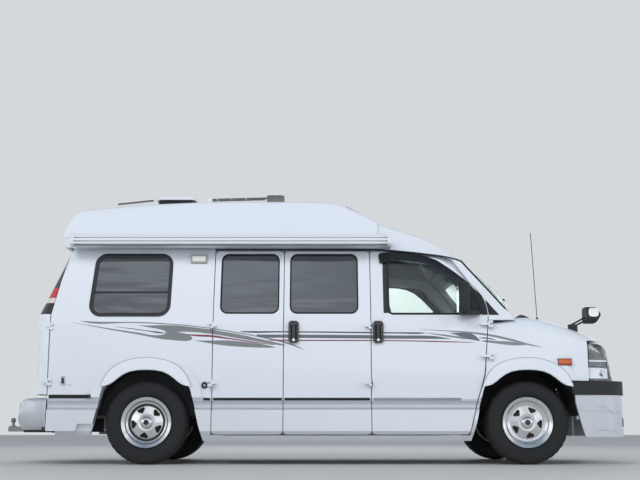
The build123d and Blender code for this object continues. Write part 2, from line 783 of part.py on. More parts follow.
def fixed_panel(side, front_x, windows):
    """Quarter panel from the rear corner to the door, with its wheel arch and windows."""
    y0, y1 = sorted((side * 500.0, side * 1300.0))
    wall = wall_shell & rear_door_seam(side)
    wall = wall & below_gutter(rocker_bottom_z, y0, y1)
    foot = [(tail_x - 100, rocker_bottom_z + 86), (rear_axle_x - 624, rocker_bottom_z + 86),
            (rear_axle_x - 604, rocker_bottom_z + 150), (rear_axle_x - 300, rocker_bottom_z + 150),
            (rear_axle_x - 300, 0), (tail_x - 100, 0)]
    wall = wall - prism_y(foot, 0, y0, y1)
    wall = wall - block(front_x - seam_gap / 2, nose_x, y0, y1, door_bottom_z - seam_gap / 2, 3000)
    wall = wall - block(seam_d_foot_x + 10, nose_x, y0, y1, 0, 3000)
    wall = wall + flare(rear_axle_x, side)
    wall = wall - arch_opening(rear_axle_x, side * 600, side * 1400)
    for points, radii in windows:
        wall = wall - prism_y(points, radii, y0 - 5, y1 + 5)
    return wall


side_leaves = [(seam_a_x, seam_b_x), (seam_b_x, seam_c_x)]
right_y = (-1200.0, -500.0)
front_door_outline = outline_of(front_door_rows)
quarter_outline = (quarter_window, quarter_radius)
leaf_outlines = [leaf_outline(x0, x1) for x0, x1 in side_leaves]
leaf_windows = [window_outline(row) for row in side_window_rows]
side_right = fixed_panel(-1, seam_a_x, [quarter_outline])
side_right = side_right + jamb(-1, [front_door_outline, *leaf_outlines], [quarter_outline])
arch_cut = arch_opening(rear_axle_x, -400, -1400)
arch_cut_front = arch_opening(front_axle_x, -400, -1400)
liner_cut = drum(front_axle_x, -liner_outer_y - 12, -500, liner_radius + liner_thickness + 1)
side_right = ((side_right - arch_cut) - arch_cut_front) - liner_cut
side_right = joined([side_right, leaf_c_fixed, leaf_a_fixed, tail_fixed])
side_left = fixed_panel(1, seam_c_x, [quarter_outline, window_outline(side_window_rows[1])])
side_left = side_left + jamb(1, [front_door_outline], [quarter_outline, window_outline(side_window_rows[1])])
side_left = ((side_left - mirrored(arch_cut)) - mirrored(arch_cut_front)) - mirrored(liner_cut)
side_left = side_left + mirrored(tail_fixed)
add("side_body_right", side_right)
add("side_body_left", side_left)

# Doors
handle_half_x = 47.0
handle_z = (1077.0, 1279.0)


def pull_handle(x):
    """Upright pull handle on a right-hand door, standing off its skin at both ends."""
    z0, z1 = handle_z
    face_y = -body_half_width
    grip = prism_y([(x - handle_half_x, z0), (x - handle_half_x, z1), (x + handle_half_x, z1),
                    (x + handle_half_x, z0)], 30, face_y - 22, face_y + 6)
    hollow = prism_y([(x - 30, z0 + 30), (x - 30, z1 - 30), (x + 30, z1 - 30), (x + 30, z0 + 30)], 20,
                     face_y - 30, face_y - 3)
    bar = block(x - 12, x + 12, face_y - 22, face_y - 10, z0 + 10, z1 - 10)
    return (grip - hollow) + bar


door_front = door_panel(*front_door_outline, *right_y, [outline_of(cab_window_rows)])
for notch in seam_notches(seam_c_x):
    door_front = door_front - notch
door_front = joined([door_front, pull_handle(seam_c_x + 65), *front_moving])
both_sides("front_door", door_front)
both_sides("front_door_glass", pane(*outline_of(cab_window_rows), *right_y))
leaf_rear = door_panel(*leaf_outlines[0], *right_y, [leaf_windows[0]])
leaf_front = door_panel(*leaf_outlines[1], *right_y, [leaf_windows[1]])
for notch in seam_notches(seam_c_x):
    leaf_front = leaf_front - notch
leaf_front = joined([leaf_front, pull_handle(seam_b_x + 92), *leaf_c_moving])
leaf_rear = joined([leaf_rear, *leaf_a_moving])
add("side_door_rear", leaf_rear)
add("side_door_front", leaf_front)
add("side_door_rear_glass", pane(*leaf_windows[0], *right_y))
add("side_door_front_glass", pane(*leaf_windows[1], *right_y))

mirror_x = (front_axle_x - 640, front_axle_x - 425)
mirror_z = (1318.0, 1618.0)


def make_door_mirror():
    """Right-hand mirror head on its arm; the arm seats on the black corner of the door."""
    x0, x1 = mirror_x
    z0, z1 = mirror_z
    head = prism_x([(-1180, z0), (-1180, z1), (-1022, z1), (-1022, z0)], 40, x0 + 30, x1)
    plan = [(x0 + 30, -1180), (x1 - 60, -1180), (x1, -1100), (x1 - 20, -1022), (x0 + 30, -1022)]
    head = head & prism_z(plan, [12, 60, 40, 12, 12], z0, z1)
    arm = block(x1 - 110, x1 - 20, -1040, -900, z0 + 20, z0 + 90)
    arm = arm - body_volume(0.0, 60.0)
    return head + arm


both_sides("door_mirror", make_door_mirror())

# Tail: lamps, corner posts, sill and header ring, the two rear doors
tail_door_half = 800.0
tail_window = [(-700.0, 1370.0), (-700.0, 1890.0), (-110.0, 1890.0), (-110.0, 1370.0)]


def swing_drum(radius):
    """Round space that a right-hand rear door's upper edge sweeps past."""
    return rod((corner_seam_x, -tail_hinge_y, 0), (corner_seam_x, -tail_hinge_y, 3000), radius)


def make_tail_door():
    """Right-hand rear door, wrapping the corner below the lamp."""
    low = tail_door_bottom_z
    top = door_top_z
    doors = []
    for wall, back in [(skin_shell, seam_gap / 2), (core_shell, seam_gap / 2 + door_rebate)]:
        low_box = block(tail_x - 50, corner_seam_x - back, -1300, -back, low + back, lamp_bottom_z + 1)
        high_box = block(tail_x - 50, tail_x + 400, -1300, -back, lamp_bottom_z, top - back)
        high_box = high_box - swing_drum(tail_swing_radius)
        high_box = high_box & block(tail_x - 50, tail_x + 400, -tail_door_half, 0, 0, 3000)
        low_box = low_box & above(low)
        lean_cut = prism_y([(tail_x - 60, 0), (tail_x - 60, 3000), (tail_x + 360, 3000),
                            (tail_x + 120, lamp_bottom_z), (tail_x + 133 - back, lamp_bottom_z),
                            (tail_x + 133 - back, 0)], 0, -1300, 0)
        doors.append(wall & ((low_box + high_box) & lean_cut))
    door = doors[0] + doors[1]
    cutter = prism_x(tail_window, 60, tail_x - 100, tail_x + 400)
    return door - cutter


tail_door = joined([make_tail_door(), *tail_moving])
both_sides("rear_door", tail_door)
tail_glass = (glass_shell & prism_x(tail_window, 60, tail_x - 100, tail_x + 400, -fit_gap))
both_sides("rear_door_glass", tail_glass)


def make_tail_lamps():
    lamp_shell = shell(0.0, 38.0)
    top_x = tail_x + 250
    region = prism_y([(tail_x - 60, lamp_bottom_z + 6), (corner_seam_x, lamp_bottom_z + 6), (top_x, 1956),
                      (tail_x - 60, 1956)], 0, -1300, -500)
    region = region & swing_drum(tail_swing_radius - seam_gap)
    return lamp_shell & region


def make_tail_ring():
    """Sill, corner posts and header that the rear doors close on."""
    ring = shell(wall_thickness + fit_gap, frame_thickness) & block(tail_x - 50, tail_x + 205, -1300, 1300,
                                                                  tail_door_bottom_z, 2100)
    ring = ring & below_gutter(200.0, -1300, 1300)
    hole = prism_x([(-720, floor_z + floor_thickness), (-720, 1900), (720, 1900),
                    (720, floor_z + floor_thickness)], 50, tail_x - 60, tail_x + 500)
    post_top = shell(38.0 + fit_gap, wall_thickness + 4) & prism_y(
        [(tail_x - 60, lamp_bottom_z + 6), (corner_seam_x, lamp_bottom_z + 6), (tail_x + 250, 1956),
         (tail_x - 60, 1956)], 0, -1300, -500)
    post_top = post_top & swing_drum(tail_swing_radius - seam_gap)
    return ((ring - hole) + post_top) + mirrored(post_top)


lamp = make_tail_lamps()
add("tail_lamps", Compound(children=[Part() + lamp, Part() + mirrored(lamp)]))
add("tail_frame", make_tail_ring())

# Cab front: pillars, header, cowl and dash wall, windscreen
screen_outline_rows = [(-842.0, 1392.0), (-772.0, 1808.0), (772.0, 1808.0), (842.0, 1392.0)]
screen_corner = 70.0
dash_wall_x = front_axle_x - 372.0


bonnet_half = 745.0
bonnet_hinge_x = front_axle_x - 92.0


def bonnet_prism(grow):
    """Plan of the bonnet, with its back edge bowed like the windscreen's foot."""
    x = bonnet_hinge_x + 10 - grow
    half = bonnet_half + grow
    outline = [
        ThreePointArc((x, -half, 1000), (x + 62, 0, 1000), (x, half, 1000)),
        Line((x, half, 1000), (nose_x, half - 30, 1000)),
        Line((nose_x, half - 30, 1000), (nose_x, -half + 30, 1000)),
        Line((nose_x, -half + 30, 1000), (x, -half, 1000)),
    ]
    return Solid.extrude(Face(Wire(outline)), Vector(0, 0, 500))


def make_cab_front():
    """Windscreen pillars, header, scuttle and the dash wall under it, in one frame."""
    points, radii = front_door_outline
    wall = wall_shell & prism_y([
        (front_axle_x - 800, 2100), (front_axle_x, 2100), (front_axle_x + 200, 1280), (dash_wall_x, 1280),
        (seam_d_x - 60, 1280), (seam_d_x - 60, screen_foot_z), (screen_seam_x - 40, screen_seam_z - 20),
    ], 0, -1300, 1300)
    wall = wall & below_gutter(200.0, -1300, 1300)
    wall = wall - prism_y(points, radii, -1300, 1300, seam_gap / 2)
    opening = prism_x([(y, z) for y, z in screen_outline_rows], screen_corner, front_axle_x - 900,
                      front_axle_x + 300)
    wall = wall - opening
    wall = wall - block(0, nose_x, -1300, 1300, 0, 1290)
    wall = wall - bonnet_prism(seam_gap)
    dash = block(dash_wall_x, dash_wall_x + 18, -900, 900, floor_z, 1330)
    for y0, y1 in [(-1000, -front_house_inner_y), (front_house_inner_y, 1000)]:
        dash = dash - drum(front_axle_x, y0, y1, liner_radius + liner_thickness)
    scuttle = body_volume(wall_thickness - 4) & block(dash_wall_x, front_axle_x, -900, 900, 1290, 1330)
    return joined([wall, scuttle, dash])


def make_windscreen():
    points = [(y, z) for y, z in screen_outline_rows]
    return glass_shell & prism_x(points, screen_corner, front_axle_x - 900, front_axle_x + 300, -fit_gap)


cab_front = make_cab_front()
add("cab_front", cab_front)
add("windscreen", make_windscreen())

# Front end: one rounded volume cut into bonnet, wings, headlamps and grille
# columns: distance from the front axle, half width, side top, corner reach, edge height, centre height
nose_rows = [
    (-390.0, 1004.0, 1200.0, 120.0, 1332.0, 1352.0),
    (4.0, 1004.0, 1190.0, 150.0, 1322.0, 1362.0),
    (190.0, 1001.0, 1160.0, 170.0, 1300.0, 1345.0),
    (430.0, 985.0, 1090.0, 170.0, 1226.0, 1272.0),
    (649.0, 945.0, 1010.0, 160.0, 1138.0, 1180.0),
    (790.0, 895.0, 915.0, 150.0, 1028.0, 1080.0),
    (890.0, 830.0, 780.0, 150.0, 880.0, 960.0),
]
nose_foot_z = 560.0
nose_low_z = 742.0
nose_wall = 40.0
nose_corner_x = front_axle_x + 795.0
nose_bow = 82.0
nose_lean = 0.175
bonnet_lip_z = 1092.0
lamp_inner_y = 598.0
lamp_side_x = front_axle_x + 562.0
lamp_low_z = 752.0
lamp_top_z = 1106.0


def nose_section(row, inset):
    dx, width, side_top, reach, edge_z, centre_z = row
    x = front_axle_x + dx
    w = width - inset
    low = nose_foot_z - (100.0 if inset else 0.0)
    top = side_top - inset
    edge = edge_z - inset
    a = Vector(x, -w, low)
    b = Vector(x, -w, top)
    c = Vector(x, -(w - reach), edge)
    k = 0.3
    corner = Vector(x, -(w - reach * k), edge - (edge - top) * k)
    crown = Vector(x, 0, centre_z - inset)
    d = Vector(x, w - reach, edge)
    e = Vector(x, w, top)
    f = Vector(x, w, low)
    corner_left = Vector(x, w - reach * k, edge - (edge - top) * k)
    edges = [Line(a, b), ThreePointArc(b, corner, c), ThreePointArc(c, crown, d),
             ThreePointArc(d, corner_left, e), Line(e, f), Line(f, a)]
    return Face(Wire(edges))


def nose_volume(inset):
    """Closed front end inside its outer faces, with a bowed and leaning front."""
    body = loft([nose_section(row, inset) for row in nose_rows])
    z0 = 400.0
    z1 = 1500.0
    base_x = nose_corner_x - inset + (nose_low_z - z0) * nose_lean
    outline = [
        ThreePointArc((base_x, -900, z0), (base_x + nose_bow, 0, z0), (base_x, 900, z0)),
        Line((base_x, 900, z0), (base_x - 200, 1100, z0)),
        Line((base_x - 200, 1100, z0), (front_axle_x - 450, 1100, z0)),
        Line((front_axle_x - 450, 1100, z0), (front_axle_x - 450, -1100, z0)),
        Line((front_axle_x - 450, -1100, z0), (base_x - 200, -1100, z0)),
        Line((base_x - 200, -1100, z0), (base_x, -900, z0)),
    ]
    cut = Solid.extrude(Face(Wire(outline)), Vector(-(z1 - z0) * nose_lean, 0, z1 - z0))
    return body & cut


nose_outer = nose_volume(0.0)
nose_inner = nose_volume(nose_wall)
nose_shell = nose_outer - nose_inner


def make_bonnet():
    panel = nose_shell & bonnet_prism(0.0)
    return panel & above(bonnet_lip_z)


def lamp_region(grow):
    """Stacked headlamp at the right-hand corner, in side and front view."""
    return block(lamp_side_x - grow, nose_x + 50, -1100, -lamp_inner_y + grow, nose_low_z - grow,
                 lamp_top_z + grow)


def make_headlamps():
    lamp_case = nose_shell & lamp_region(0.0)
    return lamp_case & block(0, nose_x, -1200, 1200, nose_low_z, bonnet_lip_z - seam_gap)


grille_rows = 4
grille_columns = 9
grille_frame = 26.0
grille_bar = 9.0
bonnet_stop_y = 400.0


def make_grille():
    """Open grille between the lamps: a rounded surround with bars and ribs."""
    half = lamp_inner_y - fit_gap
    top = bonnet_lip_z - seam_gap
    region = block(lamp_side_x, nose_x + 50, -half, half, nose_low_z, top)
    surround = nose_shell & region
    pitch_z = (top - nose_low_z - 2 * grille_frame + grille_bar) / grille_rows
    pitch_y = (2 * half - 2 * grille_frame + grille_bar) / grille_columns
    for row in range(grille_rows):
        z0 = nose_low_z + grille_frame + row * pitch_z
        for column in range(grille_columns):
            y0 = -half + grille_frame + column * pitch_y
            y1 = y0 + pitch_y - grille_bar
            surround = surround - block(lamp_side_x - 50, nose_x + 60, y0, y1, z0, z0 + pitch_z - grille_bar)
    # rubber stops that the closed bonnet rests on
    for y in (-bonnet_stop_y, bonnet_stop_y):
        stop = block(lamp_side_x, nose_x, y - 14, y + 14, top - 1, bonnet_lip_z - fit_gap)
        surround = surround + (nose_shell & stop)
    return surround


def make_wings():
    """Right wing: from the door seam to the lamp, with its arch, brow and lower rear leg."""
    y_cut = block(-nose_x, nose_x, -1300, -bonnet_half - seam_gap / 2, 0, 1500)
    panel = nose_shell & y_cut
    points, radii = front_door_outline
    panel = panel & prism_y([
        (front_axle_x - 450, nose_foot_z), (front_axle_x - 450, 1100), (seam_d_x - 30, 1250),
        (seam_d_x + 6, screen_foot_z + 60), (nose_x, 1500), (nose_x, nose_foot_z),
    ], 0, -1300, 0)
    panel = panel - prism_y(points, radii, -1300, 0, seam_gap / 2)
    leg = section_slab(0.0, nose_wall, -1, front_axle_x - 600, front_axle_x - 300)
    leg = leg & block(front_axle_x - 600, front_axle_x - 300, -1300, 0, rocker_bottom_z, 800)
    leg = leg - prism_y(points, radii, -1300, 0, seam_gap / 2)
    leg = leg - block(front_axle_x - 700, seam_d_foot_x + 10, -1300, 0, 0, 800)
    wing = panel + leg
    wing = wing + (flare(front_axle_x, -1) - prism_y(points, radii, -1300, 0, seam_gap / 2))
    wing = wing - arch_opening(front_axle_x, -600, -1400)
    wing = wing - lamp_region(fit_gap)
    wing = wing - block(front_axle_x + 264, nose_x, -1300, 0, 0, nose_low_z)
    wing = wing + front_fixed
    return wing - cab_front


add("bonnet", make_bonnet())
lamp_front = make_headlamps()
add("headlamps", Compound(children=[Part() + lamp_front, Part() + mirrored(lamp_front)]))
add("grille", make_grille())
both_sides("wing", make_wings())

# Bumpers
cap_top_z = 738.0
cap_tail_x = front_axle_x + 268.0
fascia_tail_x = front_axle_x + 426.0
fascia_bottom_z = 244.0
front_corner_y = 850.0
front_corner_x = front_axle_x + 897.0
bumper_half = 1006.0
bumper_wall = 45.0


def bumper_column(z0, z1, side_x, start_x, corner, tip_x, mid, inset):
    """Upright slab in the plan of a bumper: straight sides, rounded corners, bowed middle.

    corner is where the bowed middle ends and mid lies half way round the corner, both as X and Y.
    """
    w = bumper_half - inset
    cx, cy = corner
    mx, my = mid
    edges = [
        Line((side_x, -w, z0), (start_x, -w, z0)),
        ThreePointArc((start_x, -w, z0), (mx, -my, z0), (cx, -cy, z0)),
        ThreePointArc((cx, -cy, z0), (tip_x, 0, z0), (cx, cy, z0)),
        ThreePointArc((cx, cy, z0), (mx, my, z0), (start_x, w, z0)),
        Line((start_x, w, z0), (side_x, w, z0)),
        Line((side_x, w, z0), (side_x, -w, z0)),
    ]
    return Solid.extrude(Face(Wire(edges)), Vector(0, 0, z1 - z0))


def front_column(z0, z1, side_x, inset):
    cx = front_corner_x - inset * 0.9
    cy = front_corner_y - inset * 0.3
    mid = (cx - 78, cy + 100 - inset * 0.3)
    return bumper_column(z0, z1, side_x, front_corner_x - 260, (cx, cy), nose_x - inset, mid, inset)


def make_front_bumper():
    """Deep moulded bumper: black step pad above, painted skirt below, open behind."""
    cap_outer = front_column(waist_z, cap_top_z, cap_tail_x, 0.0)
    cap_inner = front_column(waist_z - 5, cap_top_z - 20, cap_tail_x - 9, bumper_wall)
    skirt_outer = front_column(fascia_bottom_z, waist_z, fascia_tail_x, 10.0)
    skirt_inner = front_column(fascia_bottom_z - 5, waist_z + 5, fascia_tail_x - 9, bumper_wall)
    bumper = (cap_outer - cap_inner) + (skirt_outer - skirt_inner)
    bumper = bumper - block(0, front_axle_x + 700, -960, 960, cap_top_z - 40, cap_top_z + 5)
    slot = prism_x([(-430, 400), (-430, 520), (430, 520), (430, 400)], 40, front_axle_x + 600, nose_x + 50)
    bumper = bumper - slot
    for side in (-1, 1):
        recess = Pos(front_axle_x + 790, side * 690, 460) * Box(300, 150, 90)
        bumper = bumper - recess
    crease = [(fascia_tail_x - 20, 470), (fascia_tail_x - 20, 482), (nose_x + 50, 452), (nose_x + 50, 440)]
    outer_skin = front_column(420.0, 500.0, fascia_tail_x - 60, 0.0)
    outer_skin = outer_skin - front_column(415.0, 505.0, fascia_tail_x - 70, 16.0)
    groove = prism_y(crease, 0, -1300, 1300) & outer_skin
    bumper = bumper - groove
    bumper = bumper - arch_opening(front_axle_x, -600, -1400)
    bumper = bumper - arch_opening(front_axle_x, 600, 1400)
    return bumper


add("front_bumper", make_front_bumper())

rear_bumper_top_z = 588.0
rear_bumper_low_z = 305.0
rear_bumper_seam_x = corner_seam_x - 40
rear_corner_x = rear_axle_x - 1170.0


def rear_column(z0, z1, inset):
    cx = rear_corner_x + inset
    cy = front_corner_y - inset * 0.4
    mid = (cx + 30, cy + 105 - inset * 0.4)
    return bumper_column(z0, z1, rear_bumper_seam_x, cx + 110, (cx, cy), bumper_tail_x + inset, mid, inset + 4)


def make_rear_bumper():
    """Wrap-round rear bumper with a step on top, open below and towards the body."""
    outer = rear_column(rear_bumper_low_z, rear_bumper_top_z, 0.0)
    solid = outer - rear_column(rear_bumper_low_z - 5, rear_bumper_top_z - 30, 40.0)
    solid = solid - block(tail_x + 50, 0, -950, 950, 0, 1000)
    notch = block(bumper_tail_x - 20, rear_bumper_seam_x, -42, 42, 0, receiver_z + 42)
    return solid - notch


add("rear_bumper", make_rear_bumper())

# Raised roof cap: moulded shell with a window over the cab
# columns: distance from the front axle, gutter height and half width, three points up the side, crown
roof_rows = [
    (-4249.0, 1990.0, 868.0, 2040.0, 845.0, 2076.0, 800.0, 2098.0),
    (-4050.0, 1985.0, 868.0, 2240.0, 752.0, 2300.0, 680.0, 2325.0),
    (-3960.0, 1984.0, 868.0, 2305.0, 722.0, 2368.0, 645.0, 2398.0),
    (-3500.0, 1980.0, 870.0, 2330.0, 712.0, 2398.0, 630.0, 2430.0),
    (-2600.0, 1974.0, 871.0, 2350.0, 704.0, 2425.0, 618.0, 2462.0),
    (-2100.0, 1970.0, 872.0, 2355.0, 701.0, 2432.0, 612.0, 2474.0),
    (-1740.0, 1969.0, 872.0, 2335.0, 706.0, 2408.0, 620.0, 2450.0),
    (-1600.0, 1968.0, 872.0, 2300.0, 716.0, 2372.0, 635.0, 2415.0),
    (-1363.0, 1967.0, 873.0, 2200.0, 752.0, 2262.0, 680.0, 2304.0),
    (-902.0, 1930.0, 880.0, 2045.0, 805.0, 2100.0, 740.0, 2148.0),
    (-664.0, 1880.0, 888.0, 1925.0, 845.0, 1955.0, 790.0, 1995.0),
    (-500.0, 1822.0, 896.0, 1832.0, 870.0, 1846.0, 820.0, 1868.0),
]
roof_foot_z = 1740.0
roof_foot_half = 912.0
roof_wall = 35.0
brow_x = front_axle_x - 592.0
brow_bow = 66.0
roof_window_rows = [(-1624.0, 560.0), (-1385.0, 590.0)]


def roof_section(row, inset, drop):
    dx, gz, gw, z1, w1, z2, w2, z3 = row
    x = front_axle_x + dx
    corner_z = (z1 + z2) / 2 + 0.18 * (z2 - z1)
    corner_w = (w1 + w2) / 2 + 0.18 * (w1 - w2)
    right = [
        (-(roof_foot_half - inset), roof_foot_z - drop), (-(gw - inset), gz - inset * 0.2),
        (-(w1 - inset), z1 - inset * 0.6), (-(w2 - inset * 0.6), z2 - inset),
    ]
    pts = [Vector(x, y, z) for y, z in right]
    opp = [Vector(x, -y, z) for y, z in right]
    corner = Vector(x, -(corner_w - inset * 0.8), corner_z - inset * 0.8)
    corner_left = Vector(x, corner_w - inset * 0.8, corner_z - inset * 0.8)
    crown = Vector(x, 0, z3 - inset)
    edges = [
        Line(pts[0], pts[1]), Line(pts[1], pts[2]), ThreePointArc(pts[2], corner, pts[3]),
        ThreePointArc(pts[3], crown, opp[3]), ThreePointArc(opp[3], corner_left, opp[2]),
        Line(opp[2], opp[1]), Line(opp[1], opp[0]), Line(opp[0], pts[0]),
    ]
    return Face(Wire(edges))


def roof_volume(inset, rows, drop=0.0):
    return loft([roof_section(row, inset, drop) for row in rows], ruled=True)


def roof_window_prism(grow):
    (back, back_w), (front, front_w) = roof_window_rows
    points = [(front_axle_x + back, -back_w), (front_axle_x + back, back_w),
              (front_axle_x + front, front_w), (front_axle_x + front, -front_w)]
    return prism_z(points, 50, 2100, 2600, grow)


def above_gutter():
    top = 3000.0
    points = [(tail_x - 200, gutter_tail_z)] + gutter_rows + [(nose_x, top), (tail_x - 200, top)]
    return prism_y(points, 0, -1300, 1300)


inner_rows = [(-4249.0 + roof_wall, *roof_rows[0][1:])] + roof_rows[1:11]
roof_outer = roof_volume(0.0, roof_rows)
roof_inner = roof_volume(roof_wall, inner_rows, 60.0)
brow_edges = [
    ThreePointArc((brow_x, -1000, 1700), (brow_x + brow_bow, 0, 1700), (brow_x, 1000, 1700)),
    Line((brow_x, 1000, 1700), (tail_x - 200, 1000, 1700)),
    Line((tail_x - 200, 1000, 1700), (tail_x - 200, -1000, 1700)),
    Line((tail_x - 200, -1000, 1700), (brow_x, -1000, 1700)),
]
brow = Solid.extrude(Face(Wire(brow_edges)), Vector(0, 0, 1000))
roof_outer = (roof_outer & brow) & above_gutter()
roof_cap = (roof_outer - roof_inner) - roof_window_prism(0.0)
add("roof_cap", roof_cap)

roof_glass_skin = roof_volume(4.0, roof_rows) - roof_volume(10.0, roof_rows, 60.0)
roof_glass = roof_glass_skin & roof_window_prism(-fit_gap)
fixed_windows = [roof_glass]
left_windows = [quarter_outline, window_outline(side_window_rows[1])]
for side, outlines in [(-1, [quarter_outline]), (1, left_windows)]:
    y0, y1 = sorted((side * 500.0, side * 1200.0))
    fixed_windows += [pane(points, radii, y0, y1) for points, radii in outlines]
add("fixed_glass", Compound(children=[Part() + shape for shape in fixed_windows]))

# Awning along the right side of the roof
awning_x = (rear_axle_x - 713.0, rear_axle_x + 2201.0)
awning_low_z = 1966.0
awning_top_z = 2080.0
awning_face_y = -1078.0
awning_back_y = -900.0


def make_awning():
    """Roll housing with a rounded front, larger end caps and three wall brackets."""
    x0, x1 = awning_x
    def housing(a, b, grow):
        points = [(awning_back_y, awning_low_z - grow), (awning_back_y, awning_top_z + grow),
                  (awning_face_y + 45 - grow, awning_top_z + grow), (awning_face_y - grow, awning_top_z - 50),
                  (awning_face_y - grow, awning_low_z + 20), (awning_face_y + 20, awning_low_z - grow)]
        return prism_x(points, [4, 4, 30, 18, 8, 8], a, b)
    body = housing(x0, x1, 0.0)
    ends = housing(x0 - 14, x0 + 26, 5.0) + housing(x1 - 26, x1 + 14, 5.0)
    brackets = [block(x - 45, x + 45, awning_back_y - 5, -780, awning_low_z + 30, awning_top_z - 20)
                for x in (x0 + 250, (x0 + x1) / 2, x1 - 250)]
    fixings = joined(brackets) - roof_volume(0.0, roof_rows)
    return joined([body, ends, fixings])


add("awning", make_awning())

# Roof fittings: dome vent, low cover and folded television aerial
vent_y = -300.0
vent_x = (rear_axle_x - 120.0, rear_axle_x + 291.0)


def seated(shape):
    """What stands on the roof, cut to the roof's own surface."""
    return shape - roof_volume(0.0, roof_rows)


def make_roof_fittings():
    x0, x1 = vent_x
    frame = prism_z([(x0, vent_y - 205), (x0, vent_y + 205), (x1, vent_y + 205), (x1, vent_y - 205)], 30,
                    2380, 2470)
    lid = loft([
        face_of([(x0 + 12, vent_y - 193, 2470), (x0 + 12, vent_y + 193, 2470), (x1 - 12, vent_y + 193, 2470),
                 (x1 - 12, vent_y - 193, 2470)], 40),
        face_of([(x0 + 50, vent_y - 150, 2548), (x0 + 50, vent_y + 150, 2548), (x1 - 50, vent_y + 150, 2548),
                 (x1 - 50, vent_y - 150, 2548)], 60),
    ], ruled=True)
    vent = seated(frame) + lid
    low = seated(prism_z([(x0 - 390, vent_y - 180), (x0 - 390, vent_y + 180), (x0 - 40, vent_y + 180),
                          (x0 - 40, vent_y - 180)], 40, 2350, 2452))
    gear_x = rear_axle_x + 1115.0
    gear = seated(prism_z([(gear_x - 88, vent_y - 60), (gear_x - 88, vent_y + 60), (gear_x + 88, vent_y + 60),
                           (gear_x + 88, vent_y - 60)], 25, 2400, 2545))
    boom = block(rear_axle_x + 380, gear_x, vent_y - 14, vent_y + 14, 2505, 2533)
    foot = seated(block(rear_axle_x + 420, rear_axle_x + 460, vent_y - 20, vent_y + 20, 2400, 2510))
    aerial = joined([gear, boom, foot])
    for dx, half in [(400.0, 330.0), (520.0, 250.0), (640.0, 250.0)]:
        x = rear_axle_x + dx
        aerial = aerial + block(x - 10, x + 10, vent_y - half, vent_y + half, 2509, 2529)
    return [vent, low, aerial]


add("roof_fittings", Compound(children=[Part() + shape for shape in make_roof_fittings()]))

# Whip aerial and corner mirror on the right wing
whip_x = front_axle_x + 152.0
whip_y = -800.0


def make_whip():
    base = Solid.make_cone(24, 9, 70, Plane(origin=(whip_x, whip_y, 1262)))
    mast = rod((whip_x, whip_y, 1320), (whip_x - 30, whip_y, 2135), 3.2)
    return (base + mast) - nose_outer


def make_corner_mirror():
    x = front_axle_x + 468.0
    y = -845.0
    foot = prism_z([(x - 42, y - 30), (x - 42, y + 30), (x + 42, y + 30), (x + 42, y - 30)], 20, 1050, 1262)
    foot = foot - nose_outer
    bar = rod((x - 20, y, 1255), (x + 120, y, 1330), 8) + rod((x + 30, y, 1255), (x + 120, y, 1300), 8)
    head = prism_x([(y - 95, 1272), (y - 95, 1419), (y + 75, 1419), (y + 75, 1272)], 45, x + 110, x + 240)
    head = head & prism_y([(x + 100, 1260), (x + 100, 1430), (x + 190, 1430), (x + 245, 1345), (x + 190, 1260)],
                          [8, 8, 50, 30, 50], -1100, 0)
    return joined([foot, bar, head])


add("whip_aerial", make_whip())
add("corner_mirror", make_corner_mirror())

# Cab and living space
seat_y = 440.0
seat_x = front_axle_x - 1150.0
seat_floor = floor_z + floor_thickness


def make_seat(y):
    """Cushion, leaning back rest and head rest on a box base."""
    base = block(seat_x - 20, seat_x + 380, y - 190, y + 190, seat_floor, seat_floor + 260)
    cushion = prism_y([(seat_x - 40, 920), (seat_x - 40, 1050), (seat_x + 470, 1065), (seat_x + 470, 935)], 40,
                      y - 255, y + 255)
    rest = prism_y([(seat_x - 60, 980), (seat_x - 240, 1660), (seat_x - 110, 1690), (seat_x + 60, 1010)], 45,
                   y - 245, y + 245)
    pillow = prism_y([(seat_x - 225, 1665), (seat_x - 280, 1850), (seat_x - 170, 1870), (seat_x - 125, 1680)], 35,
                     y - 130, y + 130)
    return joined([base, cushion, rest, pillow])


seats = [make_seat(-seat_y), make_seat(seat_y)]
add("front_seats", Compound(children=[Part() + seat for seat in seats]))


def make_dashboard():
    """Dash panel across the cab with the steering column and wheel on the left."""
    half = 880.0
    x1 = dash_wall_x
    panel = prism_y([(x1 - 330, 1090), (x1 - 300, 1290), (x1 - 180, 1330), (x1, 1325), (x1, 900), (x1 - 240, 920)],
                    [30, 50, 60, 0, 0, 30], -half, half)
    column = rod((x1 - 200, seat_y, 1130), (x1 - 480, seat_y, 1250), 32)
    ring = Pos(x1 - 478, seat_y, 1249) * (Rot(0, -67, 0) * Torus(185, 13))
    hub = Pos(x1 - 478, seat_y, 1249) * (Rot(0, -67, 0) * Cylinder(52, 34))
    spokes = Pos(x1 - 478, seat_y, 1249) * (Rot(0, -67, 0) * Box(20, 368, 14))
    return joined([panel, column, ring, hub, spokes])


add("dashboard", make_dashboard())


def make_furniture():
    """Galley cupboards on the left, a locker on the right and the rear bench."""
    wall_y = body_half_width - frame_thickness - 44
    galley = block(rear_axle_x + 560, rear_axle_x + 1500, 330, wall_y, seat_floor, 1330)
    bench_half = house_inner_y - 50
    bench = block(tail_x + 230, rear_axle_x + 200, -bench_half, bench_half, seat_floor, 1080)
    galley = galley - block(rear_axle_x + 700, rear_axle_x + 1360, 300, 350, 760, 1240)
    return [galley, bench]


add("furniture", Compound(children=[Part() + shape for shape in make_furniture()]))

for name, shape in parts.items():
    export_step(shape, f"parts/{name}.step")
    print(name, len(shape.solids()), round(shape.volume))
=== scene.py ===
# %% [markdown]
# # A camper van around a fixed frame
# The frame already holds every panel, door, wheel and bracket at its real size.
# This lesson gives each surface its finish and adds the small parts that catch the eye:
# window rubbers, tread, lamps, mirrors, wipers, trim and seats.
# Lengths are written in millimetres and turned to metres with one factor.

